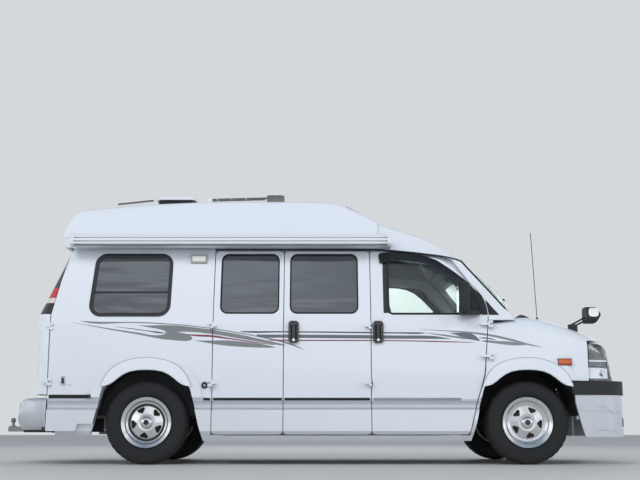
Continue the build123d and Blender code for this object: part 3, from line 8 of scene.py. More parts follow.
# %% Load the frame
import math
import bmesh
import bpy
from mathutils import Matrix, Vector
from mathutils.bvhtree import BVHTree


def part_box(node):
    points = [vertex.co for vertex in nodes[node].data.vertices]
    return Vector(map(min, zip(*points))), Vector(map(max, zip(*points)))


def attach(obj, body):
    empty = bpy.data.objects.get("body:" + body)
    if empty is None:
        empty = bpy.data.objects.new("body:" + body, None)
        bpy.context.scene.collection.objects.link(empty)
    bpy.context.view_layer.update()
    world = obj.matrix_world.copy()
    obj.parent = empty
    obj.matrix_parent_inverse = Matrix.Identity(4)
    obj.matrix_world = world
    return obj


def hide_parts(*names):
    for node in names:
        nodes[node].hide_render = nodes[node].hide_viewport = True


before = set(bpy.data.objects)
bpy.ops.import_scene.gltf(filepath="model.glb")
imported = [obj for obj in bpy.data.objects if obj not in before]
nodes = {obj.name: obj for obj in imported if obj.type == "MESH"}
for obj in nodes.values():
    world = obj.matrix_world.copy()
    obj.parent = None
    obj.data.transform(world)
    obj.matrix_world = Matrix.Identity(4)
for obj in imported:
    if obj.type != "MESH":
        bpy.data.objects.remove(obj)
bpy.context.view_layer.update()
MM = 0.001

# %% [markdown]
# ## Camera
# The photograph was taken from low down, about 9 m from the right side, with the lens tilted up.
# The horizon crosses the wheels near the bottom of the picture, which puts the lens 0.3 m up.

# %% Camera
camera_data = bpy.data.cameras.new("camera")
camera = bpy.data.objects.new("camera", camera_data)
bpy.context.scene.collection.objects.link(camera)
camera_data.sensor_width = 36.0
camera_data.lens = 56.25
tilt_up = 10.788
camera.location = (0.1185, -10.076, 0.30)
camera.rotation_euler = (math.radians(90 + tilt_up), 0.0, 0.0)
bpy.context.scene.camera = camera
bpy.context.scene.view_settings.view_transform = "Standard"

# %% [markdown]
# ## Places read from the frame
# Where it can be, an added piece is placed from the frame's own parts: boxes give the wheel
# centres, panes give the windows' outlines, and a ray cast onto a panel gives its surface. The
# other places are written in the frame's own millimetres.

# %% Axles and sides
def centre(node):
    low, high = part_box(node)
    return (low + high) / 2


front_x = centre("rim_front_right").x
rear_x = centre("rim_rear_right").x
print("axles at", round(rear_x, 3), round(front_x, 3))


# %% Surface finder
trees = {}


def tree_of(node):
    if node not in trees:
        mesh = nodes[node].data
        corners = [vertex.co for vertex in mesh.vertices]
        faces = [tuple(polygon.vertices) for polygon in mesh.polygons]
        trees[node] = BVHTree.FromPolygons(corners, faces)
    return trees[node]


def touch(node, start, direction):
    """Where a ray first meets a frame part: the point and its outward normal, or nothing."""
    point, normal, index, distance = tree_of(node).ray_cast(Vector(start), Vector(direction))
    if point is None:
        return None
    if normal.dot(Vector(direction)) > 0:
        normal = -normal
    return point, normal


# %% [markdown]
# ## Colour
# Colours are written as the sRGB hex values that a paint chart or a picture editor shows.
# The shader works in linear light, so one function turns them over.

# %% Hex to linear
def linear(code):
    shares = [int(code[i:i + 2], 16) / 255 for i in (1, 3, 5)]
    light = [s / 12.92 if s <= 0.04045 else ((s + 0.055) / 1.055) ** 2.4 for s in shares]
    return (light[0], light[1], light[2], 1.0)


def add_node(tree, kind, inputs=None, **settings):
    """One shader node with its settings, input values and links."""
    made = tree.nodes.new("ShaderNode" + kind)
    for key, value in settings.items():
        setattr(made, key, value)
    for key, value in (inputs or {}).items():
        if isinstance(value, bpy.types.NodeSocket):
            tree.links.new(value, made.inputs[key])
        else:
            made.inputs[key].default_value = value
    return made


# %% [markdown]
# ## A base for every finish
# Moulded, cast and rolled surfaces all vary a little in colour and carry a fine relief.
# One function sets the shader's plain values and adds both, at a grain given in millimetres.
# Noise in object coordinates is solid, so it needs no unwrapping and rides with the part.

# %% Base finish
def finish(name, colour, roughness, metallic=0.0, ior=1.5, grain=3.0, relief=0.05, spread=0.06, stretch=None):
    """A material with a slight spread of its colour and a relief; relief is a depth in millimetres."""
    material = bpy.data.materials.new(name)
    material.use_nodes = True
    tree = material.node_tree
    shader = tree.nodes["Principled BSDF"]
    shader.inputs["Metallic"].default_value = metallic
    shader.inputs["IOR"].default_value = ior
    place = add_node(tree, "TexCoord").outputs["Object"]
    if stretch:
        place = add_node(tree, "Mapping", {"Vector": place, "Scale": stretch}).outputs[0]
    noise = add_node(tree, "TexNoise", {"Vector": place, "Scale": 1 / (grain * MM), "Detail": 3.0})
    base = linear(colour)
    dark = tuple(c * (1 - spread) for c in base[:3]) + (1.0,)
    light = tuple(min(1.0, c * (1 + spread)) for c in base[:3]) + (1.0,)
    tint = add_node(tree, "Mix", {0: noise.outputs["Fac"], 6: dark, 7: light}, data_type="RGBA")
    tree.links.new(tint.outputs[2], shader.inputs["Base Color"])
    roughest = min(1.0, roughness * 1.1)
    rough = add_node(tree, "MapRange", {0: noise.outputs["Fac"], 3: roughness * 0.9, 4: roughest})
    tree.links.new(rough.outputs[0], shader.inputs["Roughness"])
    bump = add_node(tree, "Bump", {"Height": noise.outputs["Fac"], "Distance": relief * MM, "Strength": 1.0})
    tree.links.new(bump.outputs["Normal"], shader.inputs["Normal"])
    return material


def coat(material, weight, roughness):
    shader = material.node_tree.nodes["Principled BSDF"]
    shader.inputs["Coat Weight"].default_value = weight
    shader.inputs["Coat Roughness"].default_value = roughness
    return material


# %% [markdown]
# ## Body paint
# The body is pressed steel in gloss white enamel under clear lacquer, with the stretch below
# the rub strip sprayed in silver metallic. A height test in object coordinates splits the two,
# and the same coordinates draw the vinyl stripes, so they stay on each door when it swings.
# A stripe is a ribbon between two heights that change along the van; a Float Curve node holds
# each edge. This follows the surface exactly, where a loose decal mesh would have to be fitted.

# %% Stripe tables
grey = "#757B7D"
slate = "#555C66"
black = "#23282F"
red = "#7C2433"
silver_edge = 578.0
skirt_fold = 486.0
# each ribbon: its colour, then rows of x, lower height and upper height, from the middle of the van
ribbons = [
    (grey, [(-2062, 1279, 1281), (-1900, 1254, 1273), (-1685, 1260, 1271), (-1477, 1258, 1269),
            (-1268, 1247, 1256), (-1081, 1233, 1242), (-859, 1204, 1213), (-609, 1164, 1174),
            (-393, 1122, 1133), (-219, 1082, 1098), (-32, 1018, 1022)]),
    (grey, [(-2134, 1265, 1267), (-1808, 1203, 1214), (-1542, 1157, 1174), (-1347, 1120, 1150),
            (-1285, 1110, 1166), (-1272, 1109, 1200), (-1161, 1100, 1176), (-1087, 1097, 1159),
            (-1038, 1118, 1126)]),
    (grey, [(-1531, 1237, 1239), (-1441, 1222, 1238), (-1301, 1193, 1241), (-1272, 1178, 1240),
            (-1161, 1179, 1236), (-1079, 1180, 1228), (-858, 1159, 1197), (-609, 1118, 1156),
            (-449, 1092, 1121), (-295, 1066, 1088), (-200, 1052, 1062)]),
    (red, [(-1095, 1156, 1160), (-1038, 1143, 1157), (-858, 1131, 1150), (-709, 1113, 1126),
           (-489, 1083, 1093), (-295, 1060, 1065)]),
    (grey, [(-1017, 1101, 1104), (-857, 1072, 1101), (-760, 1058, 1103), (-537, 1041, 1086),
            (-378, 1036, 1064), (-285, 1037, 1040)]),
    (slate, [(-1739, 1224, 1226), (-1600, 1206, 1213), (-1450, 1185, 1193), (-1307, 1166, 1176),
             (-1290, 1170, 1172)]),
    (black, [(-609, 1184, 1186), (-546, 1174, 1186), (-220, 1174, 1186), (844, 1164, 1176),
             (1040, 1163, 1174), (1076, 1169, 1171)]),
    (slate, [(-460, 1154, 1156), (-393, 1129, 1155), (-220, 1127, 1155), (844, 1117, 1147),
             (1150, 1116, 1142), (1260, 1115, 1125), (1306, 1115, 1117)]),
    (red, [(-351, 1108, 1110), (-300, 1099, 1110), (-220, 1098, 1109), (844, 1094, 1104),
           (1400, 1083, 1091), (1527, 1083, 1085)]),
    (grey, [(1012, 1202, 1204), (1215, 1188, 1195), (1419, 1172, 1185), (1640, 1143, 1162),
            (1861, 1094, 1115), (1970, 1066, 1083), (2135, 1039, 1042)]),
    (slate, [(1289, 1169, 1171), (1360, 1150, 1172), (1436, 1118, 1172), (1500, 1108, 1160),
             (1564, 1094, 1108)]),
    (grey, [(1076, 1169, 1171), (1200, 1148, 1160), (1330, 1128, 1145), (1436, 1112, 1130)]),
    (slate, [(1560, 1122, 1126), (1640, 1115, 1128), (1712, 1104, 1108)]),
    (grey, [(1575, 1096, 1098), (1640, 1084, 1104), (1712, 1074, 1098), (1859, 1058, 1090),
            (1950, 1058, 1072), (1985, 1061, 1063)]),
]
stripe_low = 1000.0
stripe_high = 1300.0
# faces nearer to the centre line than this are inside the doors and stay bare
stripe_skin = 982.0
print(len(ribbons), "ribbons")


# %% Body paint shader
def edge_curve(tree, along, rows, column):
    """A Float Curve node that gives one edge of a ribbon as a share of the stripe's height."""
    curve = add_node(tree, "FloatCurve", {1: along})
    start = rows[0][0]
    length = rows[-1][0] - start
    points = curve.mapping.curves[0].points
    height = stripe_high - stripe_low
    shares = [((row[0] - start) / length, (row[column] - stripe_low) / height) for row in rows]
    points[0].location = shares[0]
    points[1].location = shares[-1]
    for share in shares[1:-1]:
        points.new(*share)
    curve.mapping.update()
    return curve.outputs[0]


def compare(tree, first, second, kind="GREATER_THAN"):
    return add_node(tree, "Math", {0: first, 1: second}, operation=kind).outputs[0]


def body_paint(name, striped):
    material = bpy.data.materials.new(name)
    material.use_nodes = True
    tree = material.node_tree
    shader = tree.nodes["Principled BSDF"]
    shader.inputs["IOR"].default_value = 1.5
    shader.inputs["Coat Weight"].default_value = 1.0
    shader.inputs["Coat Roughness"].default_value = 0.03
    place = add_node(tree, "TexCoord").outputs["Object"]
    axes = add_node(tree, "SeparateXYZ", {0: place}).outputs
    # orange peel: lacquer ripples of about 6 mm, a few thousandths of a millimetre deep
    peel = add_node(tree, "TexNoise", {"Vector": place, "Scale": 1 / (6 * MM), "Detail": 2.0})
    flakes = add_node(tree, "TexNoise", {"Vector": place, "Scale": 1 / (2 * MM), "Detail": 1.0})
    white = add_node(tree, "Mix", {0: peel.outputs["Fac"], 6: linear("#DDE3EB"), 7: linear("#E2E8EF")},
                     data_type="RGBA").outputs[2]
    silver = add_node(tree, "Mix", {0: flakes.outputs["Fac"], 6: linear("#B9BFC8"), 7: linear("#D9DEE5")},
                      data_type="RGBA").outputs[2]
    # below the fold of the skirt the silver is painted paler: a painted highlight for the sky that the
    # upturned panel reflects
    skirt = compare(tree, axes["Z"], skirt_fold * MM, "LESS_THAN")
    silver = add_node(tree, "Mix", {0: skirt, 6: silver, 7: linear("#E3E7ED")}, data_type="RGBA").outputs[2]
    low = compare(tree, axes["Z"], silver_edge * MM, "LESS_THAN")
    colour = add_node(tree, "Mix", {0: low, 6: white, 7: silver}, data_type="RGBA").outputs[2]
    if striped:
        out = add_node(tree, "Math", {0: axes["Y"]}, operation="ABSOLUTE").outputs[0]
        outside = compare(tree, out, stripe_skin * MM)
        height = add_node(tree, "MapRange", {0: axes["Z"], 1: stripe_low * MM, 2: stripe_high * MM},
                          clamp=False).outputs[0]
        for code, rows in ribbons:
            along = add_node(tree, "MapRange", {0: axes["X"], 1: rows[0][0] * MM, 2: rows[-1][0] * MM},
                             clamp=False).outputs[0]
            inside = compare(tree, height, edge_curve(tree, along, rows, 1))
            below = compare(tree, height, edge_curve(tree, along, rows, 2), "LESS_THAN")
            ahead = compare(tree, along, 0.0)
            behind = compare(tree, along, 1.0, "LESS_THAN")
            for test in (below, ahead, behind, outside):
                inside = add_node(tree, "Math", {0: inside, 1: test}, operation="MULTIPLY").outputs[0]
            colour = add_node(tree, "Mix", {0: inside, 6: colour, 7: linear(code)},
                              data_type="RGBA").outputs[2]
    tree.links.new(colour, shader.inputs["Base Color"])
    # the flakes make the silver partly metallic and a little rougher than the white
    metal = add_node(tree, "Math", {0: low, 1: 0.55}, operation="MULTIPLY").outputs[0]
    tree.links.new(metal, shader.inputs["Metallic"])
    rough = add_node(tree, "MapRange", {0: low, 3: 0.28, 4: 0.36}).outputs[0]
    tree.links.new(rough, shader.inputs["Roughness"])
    bump = add_node(tree, "Bump", {"Height": peel.outputs["Fac"], "Distance": 0.004 * MM})
    tree.links.new(bump.outputs["Normal"], shader.inputs["Normal"])
    return material


enamel_striped = body_paint("enamel_white_over_silver_with_vinyl_stripes", True)
enamel_plain = body_paint("enamel_white_over_silver", False)
print(enamel_striped.name, len(enamel_striped.node_tree.nodes), "shader nodes")

# %% [markdown]
# ## The other finishes
# Each one is named for what it is and how its surface was made. The values start from that
# stuff's usual index of refraction and roughness, and are then matched to the photograph.

# %% Plastics, rubber and glass fibre
gelcoat = finish("gelcoat_moulded_glass_fibre", "#E1E6ED", 0.30, grain=40.0, relief=0.03, spread=0.01)
coat(gelcoat, 0.8, 0.06)
silver_abs = finish("ABS_moulded_silver_sprayed", "#CBD0D7", 0.34, metallic=0.6, grain=2.0, relief=0.01)
coat(silver_abs, 0.8, 0.08)
black_pp = finish("polypropylene_moulded_black_grained", "#24272B", 0.55, grain=1.6, relief=0.12, spread=0.15)
gloss_black = coat(finish("ABS_moulded_gloss_black", "#15171A", 0.25, grain=8.0, relief=0.01), 0.6, 0.05)
window_rubber = finish("EPDM_extruded_black", "#1A1C1F", 0.6, grain=2.0, relief=0.05, spread=0.1)
tyre_rubber = finish("natural_rubber_vulcanised", "#1B1C1E", 0.68, ior=1.52, grain=5.0, relief=0.12,
                     spread=0.15)
white_abs = finish("ABS_moulded_white", "#DDE0E4", 0.4, grain=3.0, relief=0.03, spread=0.02)
awning_skin = finish("aluminium_extruded_white_powder_coat", "#DDE2E8", 0.35, grain=1.2, relief=0.02,
                     spread=0.01)
coat(awning_skin, 0.3, 0.15)
# the same grey also paints the shade line along the arch brows' outer edges
pad_grey = finish("PVC_extruded_grey_and_painted_shade_line", "#8C9299", 0.45, grain=3.0, relief=0.05, spread=0.08)
porch_grey = finish("ABS_moulded_grey", "#A9A6A0", 0.45, grain=3.0, relief=0.03, spread=0.05)
stripe_vinyl = finish("vinyl_cast_wine_grey", "#6E6068", 0.4, grain=20.0, relief=0.01, spread=0.05)

# %% Metals
polished = finish("aluminium_cast_polished", "#E6E8EA", 0.2, metallic=1.0, grain=14.0, relief=0.02,
                  spread=0.05)
chrome = finish("chromium_plated_steel", "#E4E5E6", 0.07, metallic=1.0, grain=20.0, relief=0.005,
                spread=0.02)
chassis_black = finish("enamel_brushed_on_steel_black", "#1C1D1F", 0.5, grain=25.0, relief=0.3, spread=0.3)
cast_iron = finish("iron_sand_cast", "#4A4744", 0.65, metallic=0.8, grain=3.0, relief=0.5, spread=0.3)
aluminised = finish("steel_aluminised_rolled", "#8D8A84", 0.4, metallic=1.0, grain=30.0, relief=0.1,
                    spread=0.25)
reflector = finish("aluminium_vacuum_metallised", "#D9DBDD", 0.08, metallic=1.0, grain=9.0, relief=0.02)
zinc = finish("steel_zinc_plated", "#9A9C9B", 0.35, metallic=1.0, grain=6.0, relief=0.05, spread=0.15)
print("metals and plastics made")


# %% Glass and lenses
def clear(name, colour, roughness=0.0, ior=1.5, weight=1.0):
    material = finish(name, colour, max(roughness, 0.02), ior=ior, grain=60.0, relief=0.01, spread=0.01)
    material.node_tree.nodes["Principled BSDF"].inputs["Transmission Weight"].default_value = weight
    return material


screen_glass = clear("glass_laminated_green_tint", "#E9F3EE")
door_glass = clear("glass_toughened_green_tint", "#EDF6F1")
# toughened glass carries roller waves: long low ripples left by the furnace rollers
# its sun film is thin metal on the glass, which raises the reflection of plain glass several times
privacy_glass = finish("glass_toughened_privacy_film", "#232B34", 0.03, ior=2.5, grain=700.0, relief=14.0,
                       spread=0.2, stretch=(0.3, 1.0, 1.6))
clear_lens = clear("polycarbonate_moulded_clear", "#F2F5F7", ior=1.58)
amber_lens = coat(finish("acrylic_moulded_amber", "#C4570E", 0.2, ior=1.49, grain=5.0, relief=0.2), 1.0, 0.04)
mirror_glass = finish("glass_silvered", "#E8EAEC", 0.03, metallic=1.0, grain=50.0, relief=0.001,
                      spread=0.01)


def banded_lens(name, bands, plain):
    """A lens moulded in bands of colour by height, with fine upright ribs inside."""
    material = finish(name, plain, 0.12, ior=1.58, grain=9.0, relief=0.05, spread=0.1)
    tree = material.node_tree
    shader = tree.nodes["Principled BSDF"]
    place = add_node(tree, "TexCoord").outputs["Object"]
    height = add_node(tree, "SeparateXYZ", {0: place}).outputs["Z"]
    colour = linear(plain)
    for code, low, high in bands:
        above = compare(tree, height, low * MM)
        below = compare(tree, height, high * MM, "LESS_THAN")
        inside = add_node(tree, "Math", {0: above, 1: below}, operation="MULTIPLY").outputs[0]
        colour = add_node(tree, "Mix", {0: inside, 6: colour, 7: linear(code)}, data_type="RGBA").outputs[2]
    tree.links.new(colour, shader.inputs["Base Color"])
    coat(material, 1.0, 0.03)
    return material


# red and clear bands with one dark line above them, on a dark body
tail_bands = [("#C31220", 1500, 1592), ("#D9D6CC", 1448, 1496), ("#2A2C30", 1600, 1606)]
tail_lens = banded_lens("acrylic_moulded_tail_lamp", tail_bands, "#1B1D20")
opal_lens = finish("polycarbonate_moulded_opal", "#F0EFEA", 0.2, ior=1.58, grain=12.0, relief=0.1,
                   spread=0.03)
coat(opal_lens, 0.8, 0.05)
lamp_grey = finish("aluminium_metallised_dark", "#6A7078", 0.2, metallic=0.8, grain=6.0, relief=0.1,
                   spread=0.2)
lamp_smoke = finish("polycarbonate_moulded_smoked", "#3D4349", 0.25, ior=1.58, grain=10.0, relief=0.2)
coat(lamp_smoke, 0.8, 0.05)
border_glass = finish("glass_laminated_printed_border", "#5E736D", 0.05, ior=1.52, grain=90.0, relief=0.02,
                      spread=0.1)
print("glass and lenses made")

# %% [markdown]
# ## Cloth, board and panel
# Seat cloth is a plain weave: two sets of threads at right angles. Two wave textures in object
# space, one along X and one along Z, give the crossing ribs. Real threads are about 0.8 mm apart,
# too fine for this view, so the weave is drawn at 6 mm.

# %% Woven cloth and veneer
# a Wave Texture of scale 1 repeats every 0.314 m, so this much over the spacing gives one rib for each
wave_scale = 0.31831


def woven(name, colour, spacing):
    material = finish(name, colour, 0.9, grain=30.0, relief=0.2, spread=0.12)
    tree = material.node_tree
    shader = tree.nodes["Principled BSDF"]
    place = add_node(tree, "TexCoord").outputs["Object"]
    scale = wave_scale / (spacing * MM)
    warp = add_node(tree, "TexWave", {"Vector": place, "Scale": scale}, bands_direction="X").outputs["Fac"]
    weft = add_node(tree, "TexWave", {"Vector": place, "Scale": scale}, bands_direction="Z").outputs["Fac"]
    cross = add_node(tree, "Math", {0: warp, 1: weft}, operation="MULTIPLY").outputs[0]
    bump = add_node(tree, "Bump", {"Height": cross, "Distance": 0.6 * MM})
    tree.links.new(bump.outputs["Normal"], shader.inputs["Normal"])
    shader.inputs["Sheen Weight"].default_value = 0.3
    return material


seat_cloth = woven("polyester_woven_grey", "#8C8A86", 6.0)
carpet = woven("nylon_tufted_grey", "#6A6863", 9.0)
veneer = finish("oak_veneered_board", "#A97B4C", 0.45, grain=18.0, relief=0.05, spread=0.25,
                stretch=(0.15, 1.0, 1.0))
dash_skin = finish("vinyl_grained_grey", "#55585C", 0.6, grain=2.5, relief=0.15, spread=0.08)
print("soft finishes made")


# %% [markdown]
# ## Dressing the frame's own parts
# A frame part whose shape is right only needs its finish. A part of two finishes, such as the
# front bumper with its black step pad, takes a second material on the faces that a test picks.

# %% Assign finishes
def dress(node, material):
    slots = nodes[node].data.materials
    slots.clear()
    slots.append(material)


def second_finish(node, material, test):
    """Faces of a frame part whose centre and normal pass the test take another material."""
    mesh = nodes[node].data
    mesh.materials.append(material)
    index = len(mesh.materials) - 1
    count = 0
    for polygon in mesh.polygons:
        if test(polygon.center, polygon.normal):
            polygon.material_index = index
            count += 1
    print(node, count, "faces in", material.name)


finish_table = {
    enamel_striped: ["side_body_right", "side_body_left", "side_door_front", "side_door_rear",
                     "front_door_right", "front_door_left", "wing_right", "wing_left"],
    enamel_plain: ["rear_door_right", "rear_door_left", "bonnet", "cab_front", "tail_frame"],
    gelcoat: ["roof_cap"],
    silver_abs: ["front_bumper", "rear_bumper"],
    black_pp: ["arch_liners", "grille", "fuel_tank", "corner_mirror", "door_mirror_right", "door_mirror_left",
               "whip_aerial"],
    tyre_rubber: [f"tyre_{end}_{side}" for end in ("front", "rear") for side in ("right", "left")],
    polished: [f"rim_{end}_{side}" for end in ("front", "rear") for side in ("right", "left")],
    chassis_black: ["chassis_frame", "front_suspension", "rear_axle"],
    cast_iron: ["engine_block", "knuckle_right", "knuckle_left"],
    aluminised: ["exhaust"],
    zinc: ["tow_ball"],
    tail_lens: ["tail_lamps"],
    screen_glass: ["windscreen"],
    door_glass: ["front_door_glass_right", "front_door_glass_left"],
    privacy_glass: ["fixed_glass", "side_door_front_glass", "side_door_rear_glass", "rear_door_glass_right",
                    "rear_door_glass_left"],
    clear_lens: ["headlamps"],
    awning_skin: ["awning"],
    white_abs: ["roof_fittings"],
    carpet: ["floor_pan"],
    dash_skin: ["dashboard"],
    seat_cloth: ["front_seats"],
    veneer: ["furniture"],
}
for material, names in finish_table.items():
    for name in names:
        dress(name, material)
step_pad_z = 613 * MM
second_finish("front_bumper", black_pp, lambda c, n: c.z > step_pad_z)
print(sum(len(names) for names in finish_table.values()), "frame parts dressed")


# %% [markdown]
# ## Making added pieces
# Three ways of making a mesh serve nearly all the trim. A sweep carries a section along a line of
# points, for rubbers, strips and arms. A loft skins a stack of outlines, for mirror heads and
# lamp bodies. A turned shape spins a profile about an axle, for tyres and drums.
# Each function recalculates normals, shades smooth and keeps edges over 35 degrees sharp.

# %% Mesh helpers
smooth_limit = math.radians(35)


def new_object(name, mesh):
    made = bpy.data.objects.new(name, mesh)
    bpy.context.scene.collection.objects.link(made)
    return made


def mesh_from(name, corners, faces):
    mesh = bpy.data.meshes.new(name)
    mesh.from_pydata([tuple(c) for c in corners], [], faces)
    shape = bmesh.new()
    shape.from_mesh(mesh)
    bmesh.ops.recalc_face_normals(shape, faces=shape.faces)
    shape.to_mesh(mesh)
    shape.free()
    mesh.shade_smooth()
    mesh.set_sharp_from_angle(angle=smooth_limit)
    return mesh


def piece(name, corners, faces, body, material):
    """A new piece that rides on a body and wears one material."""
    made = new_object(name, mesh_from(name, corners, faces))
    made.data.materials.append(material)
    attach(made, body)
    return made


def skin_rings(rings, closed_rings, closed_line):
    """Faces that join rings of equal count; an open line is capped at both ends."""
    size = len(rings[0])
    corners = [corner for ring in rings for corner in ring]
    faces = []
    spans = len(rings) if closed_line else len(rings) - 1
    for i in range(spans):
        here = i * size
        there = (i + 1) % len(rings) * size
        for j in range(size if closed_rings else size - 1):
            k = (j + 1) % size
            faces.append((here + j, here + k, there + k, there + j))
    if closed_rings and not closed_line:
        faces.append(tuple(range(size)))
        faces.append(tuple(range(len(corners) - size, len(corners))))
    return corners, faces


def sweep(name, line, outward, section, body, material, closed=False):
    """Carry a section, drawn in millimetres across and outward, along a line of points."""
    count = len(line)
    rings = []
    for i in range(count):
        before = line[i - 1] if closed or i else line[0]
        after = line[(i + 1) % count] if closed or i < count - 1 else line[-1]
        along = (after - before).normalized()
        across = along.cross(outward[i]).normalized()
        out = across.cross(along)
        rings.append([line[i] + across * (u * MM) + out * (v * MM) for u, v in section])
    return piece(name, *skin_rings(rings, True, closed), body, material)


def rounded_section(width, low, high, radius, steps=3):
    """A flat-bottomed section with rounded upper corners, in millimetres."""
    half = width / 2
    points = [(-half, low), (half, low)]
    for side in (1, -1):
        for step in range(steps + 1):
            angle = math.pi / 2 * step / steps
            turn = angle if side > 0 else math.pi / 2 - angle
            across = side * (half - radius + radius * math.cos(turn))
            points.append((across, high - radius + radius * math.sin(turn)))
    return points


def ring_section(radius, count=10):
    angles = [2 * math.pi * i / count for i in range(count)]
    return [(radius * math.cos(a), radius * math.sin(a)) for a in angles]


def soft_outline(half_a, half_b, exponent, count):
    """Offsets round a rectangle with soft corners; a smaller exponent makes them squarer."""
    offsets = []
    for i in range(count):
        angle = 2 * math.pi * i / count
        c = math.cos(angle)
        s = math.sin(angle)
        a = half_a * math.copysign(abs(c) ** exponent, c)
        b = half_b * math.copysign(abs(s) ** exponent, s)
        offsets.append((a, b))
    return offsets


def squircle(x, y, z, half_x, half_y, power, count=32):
    """A rounded-rectangle outline at one height."""
    return [Vector((x + a, y + b, z)) * MM for a, b in soft_outline(half_x, half_y, 2 / power, count)]


def turned(name, rows, segments, place, body, material, shape=None):
    """Spin rows of radius and offset along Y, in millimetres, about a centre."""
    rings = []
    for i in range(segments):
        angle = 2 * math.pi * i / segments
        ring = []
        for radius, y in rows:
            r = radius + (shape(i, radius, y) if shape else 0.0)
            ring.append(Vector((r * math.cos(angle), y, r * math.sin(angle))) * MM)
        rings.append(ring)
    made = piece(name, *skin_rings(rings, False, True), body, material)
    made.location = place
    return made


print("helpers ready")


# %% [markdown]
# ## Following the panels
# Trim has to lie on curved panels, so its line is found by casting rays from outside and keeping
# where they land. A ray that falls into a door gap lands much deeper, and takes its neighbour's depth.

# %% Laying lines on a side
# in metres: how far out the rays start, and how much deeper one lands when it falls into a gap
ray_start = 1.6
gap_depth = 0.12


def on_side(node, side, rows):
    """Points where rows of x and z, in millimetres, meet a panel seen from one side."""
    found = [touch(node, (x * MM, side * ray_start, z * MM), (0, -side, 0)) for x, z in rows]
    depths = sorted(abs(hit[0].y) for hit in found if hit)
    usual = depths[-1] if depths else 1.0
    line = []
    normals = []
    for (x, z), hit in zip(rows, found):
        if hit and abs(hit[0].y) > usual - gap_depth:
            line.append(hit[0])
            normals.append(hit[1])
        else:
            line.append(Vector((x * MM, line[-1].y if line else side * usual, z * MM)))
            normals.append(normals[-1] if normals else Vector((0, side, 0)))
    return line, normals


def evenly(start, end, step):
    """Values from start to end at about one step."""
    count = max(1, round(abs(end - start) / step))
    return [start + (end - start) * i / count for i in range(count + 1)]


def strip(name, node, body, side, x0, x1, z, width, proud, material, radius=2.0):
    rows = [(x, z) for x in evenly(x0, x1, 60)]
    line, normals = on_side(node, side, rows)
    section = rounded_section(width, -2, proud, radius)
    return sweep(name, line, normals, section, body, material)


# %% [markdown]
# ## Window rubbers
# Every pane lies a step inside its panel. A real van closes that step with an extruded rubber,
# bonded round the glass and standing a little proud of the paint. The outline is the convex hull
# of the pane's own corners, so each rubber fits its window. The quarter windows at the rear have
# a wider black frame instead, with a bar across.

# %% Hull of a pane
def hull(points):
    """Convex outline of flat points, anticlockwise."""
    points = sorted(set(points))
    chains = []
    for run in (points, points[::-1]):
        chain = []
        for p in run:
            while len(chain) > 1 and ((chain[-1][0] - chain[-2][0]) * (p[1] - chain[-2][1])
                                      - (chain[-1][1] - chain[-2][1]) * (p[0] - chain[-2][0])) <= 0:
                chain.pop()
            chain.append(p)
        chains.append(chain[:-1])
    return chains[0] + chains[1]


def tidy_loop(points, least):
    """Drop hull points that lie closer together than the least distance."""
    kept = [points[0]]
    for p in points[1:]:
        if math.dist(p, kept[-1]) > least:
            kept.append(p)
    if math.dist(kept[0], kept[-1]) < least:
        kept.pop()
    return kept


def inset(points, distance):
    """Move a convex loop inward, or outward where the distance is negative."""
    moved = []
    count = len(points)
    for i, p in enumerate(points):
        a = points[i - 1]
        b = points[(i + 1) % count]
        along = Vector((b[0] - a[0], b[1] - a[1])).normalized()
        moved.append((p[0] - along.y * distance, p[1] + along.x * distance))
    return moved


def pane_rubber(name, node, body, side, width, low, high, shift=0.0, test=None, material=None):
    """A rubber round a side pane: its middle lies shift outside the pane's edge."""
    corners = [v.co for v in nodes[node].data.vertices if v.co.y * side > 0 and (test is None or test(v.co))]
    loop = tidy_loop(hull([(round(c.x, 5), round(c.z, 5)) for c in corners]), 0.006)
    centre_x = sum(x for x, z in loop) / len(loop)
    centre_z = sum(z for x, z in loop) / len(loop)
    middle, normal = touch(node, (centre_x, side * ray_start, centre_z), (0, -side, 0))
    slope = -normal.z / normal.y
    line = []
    for x, z in inset(loop, -shift * MM):
        line.append(Vector((x, middle.y + (z - middle.z) * slope, z)))
    section = rounded_section(width, low, high, 3.0)
    made = sweep(name, line, [normal] * len(line), section, body, material or window_rubber, closed=True)
    print(name, "through", len(line), "points")
    return made


# %% Side window rubbers
sides = {"right": -1, "left": 1}
pane_rubber("rubber_side_door_front", "side_door_front_glass", "side_door_front", -1, 14, -3, 16, -6)
pane_rubber("rubber_side_door_rear", "side_door_rear_glass", "side_door_rear", -1, 14, -3, 16, -6)
# one frame part holds all the fixed panes, so two tests in metres pick out the corners of each
quarter_end = centre("fixed_glass").x - 0.4
side_top = 1.95
for word, side in sides.items():
    pane_rubber(f"frame_quarter_{word}", "fixed_glass", "van", side, 34, -3, 20, 3,
                lambda c: c.x < quarter_end and c.z < side_top, gloss_black)
    pane_rubber(f"rubber_cab_{word}", f"front_door_glass_{word}", f"front_door_{word}", side, 20, -3, 18, 2)
pane_rubber("rubber_side_left", "fixed_glass", "van", 1, 14, -3, 16, -6,
            lambda c: c.x > quarter_end and c.z < side_top)


# %% Rear window rubbers
def rear_rubber(word):
    node = f"rear_door_glass_{word}"
    corners = [v.co for v in nodes[node].data.vertices]
    flat = [(round(c.y, 5), round(c.z, 5)) for c in corners]
    loop = inset(tidy_loop(hull(flat), 0.008), 0.006)
    line = []
    normals = []
    for y, z in loop:
        hit = touch(node, (-4.0, y, z), (1, 0, 0))
        line.append(hit[0])
        normals.append(hit[1])
    return sweep(f"rubber_rear_{word}", line, normals, rounded_section(16, -3, 16, 3.0), f"rear_door_{word}",
                 window_rubber, closed=True)


for word in sides:
    rear_rubber(word)

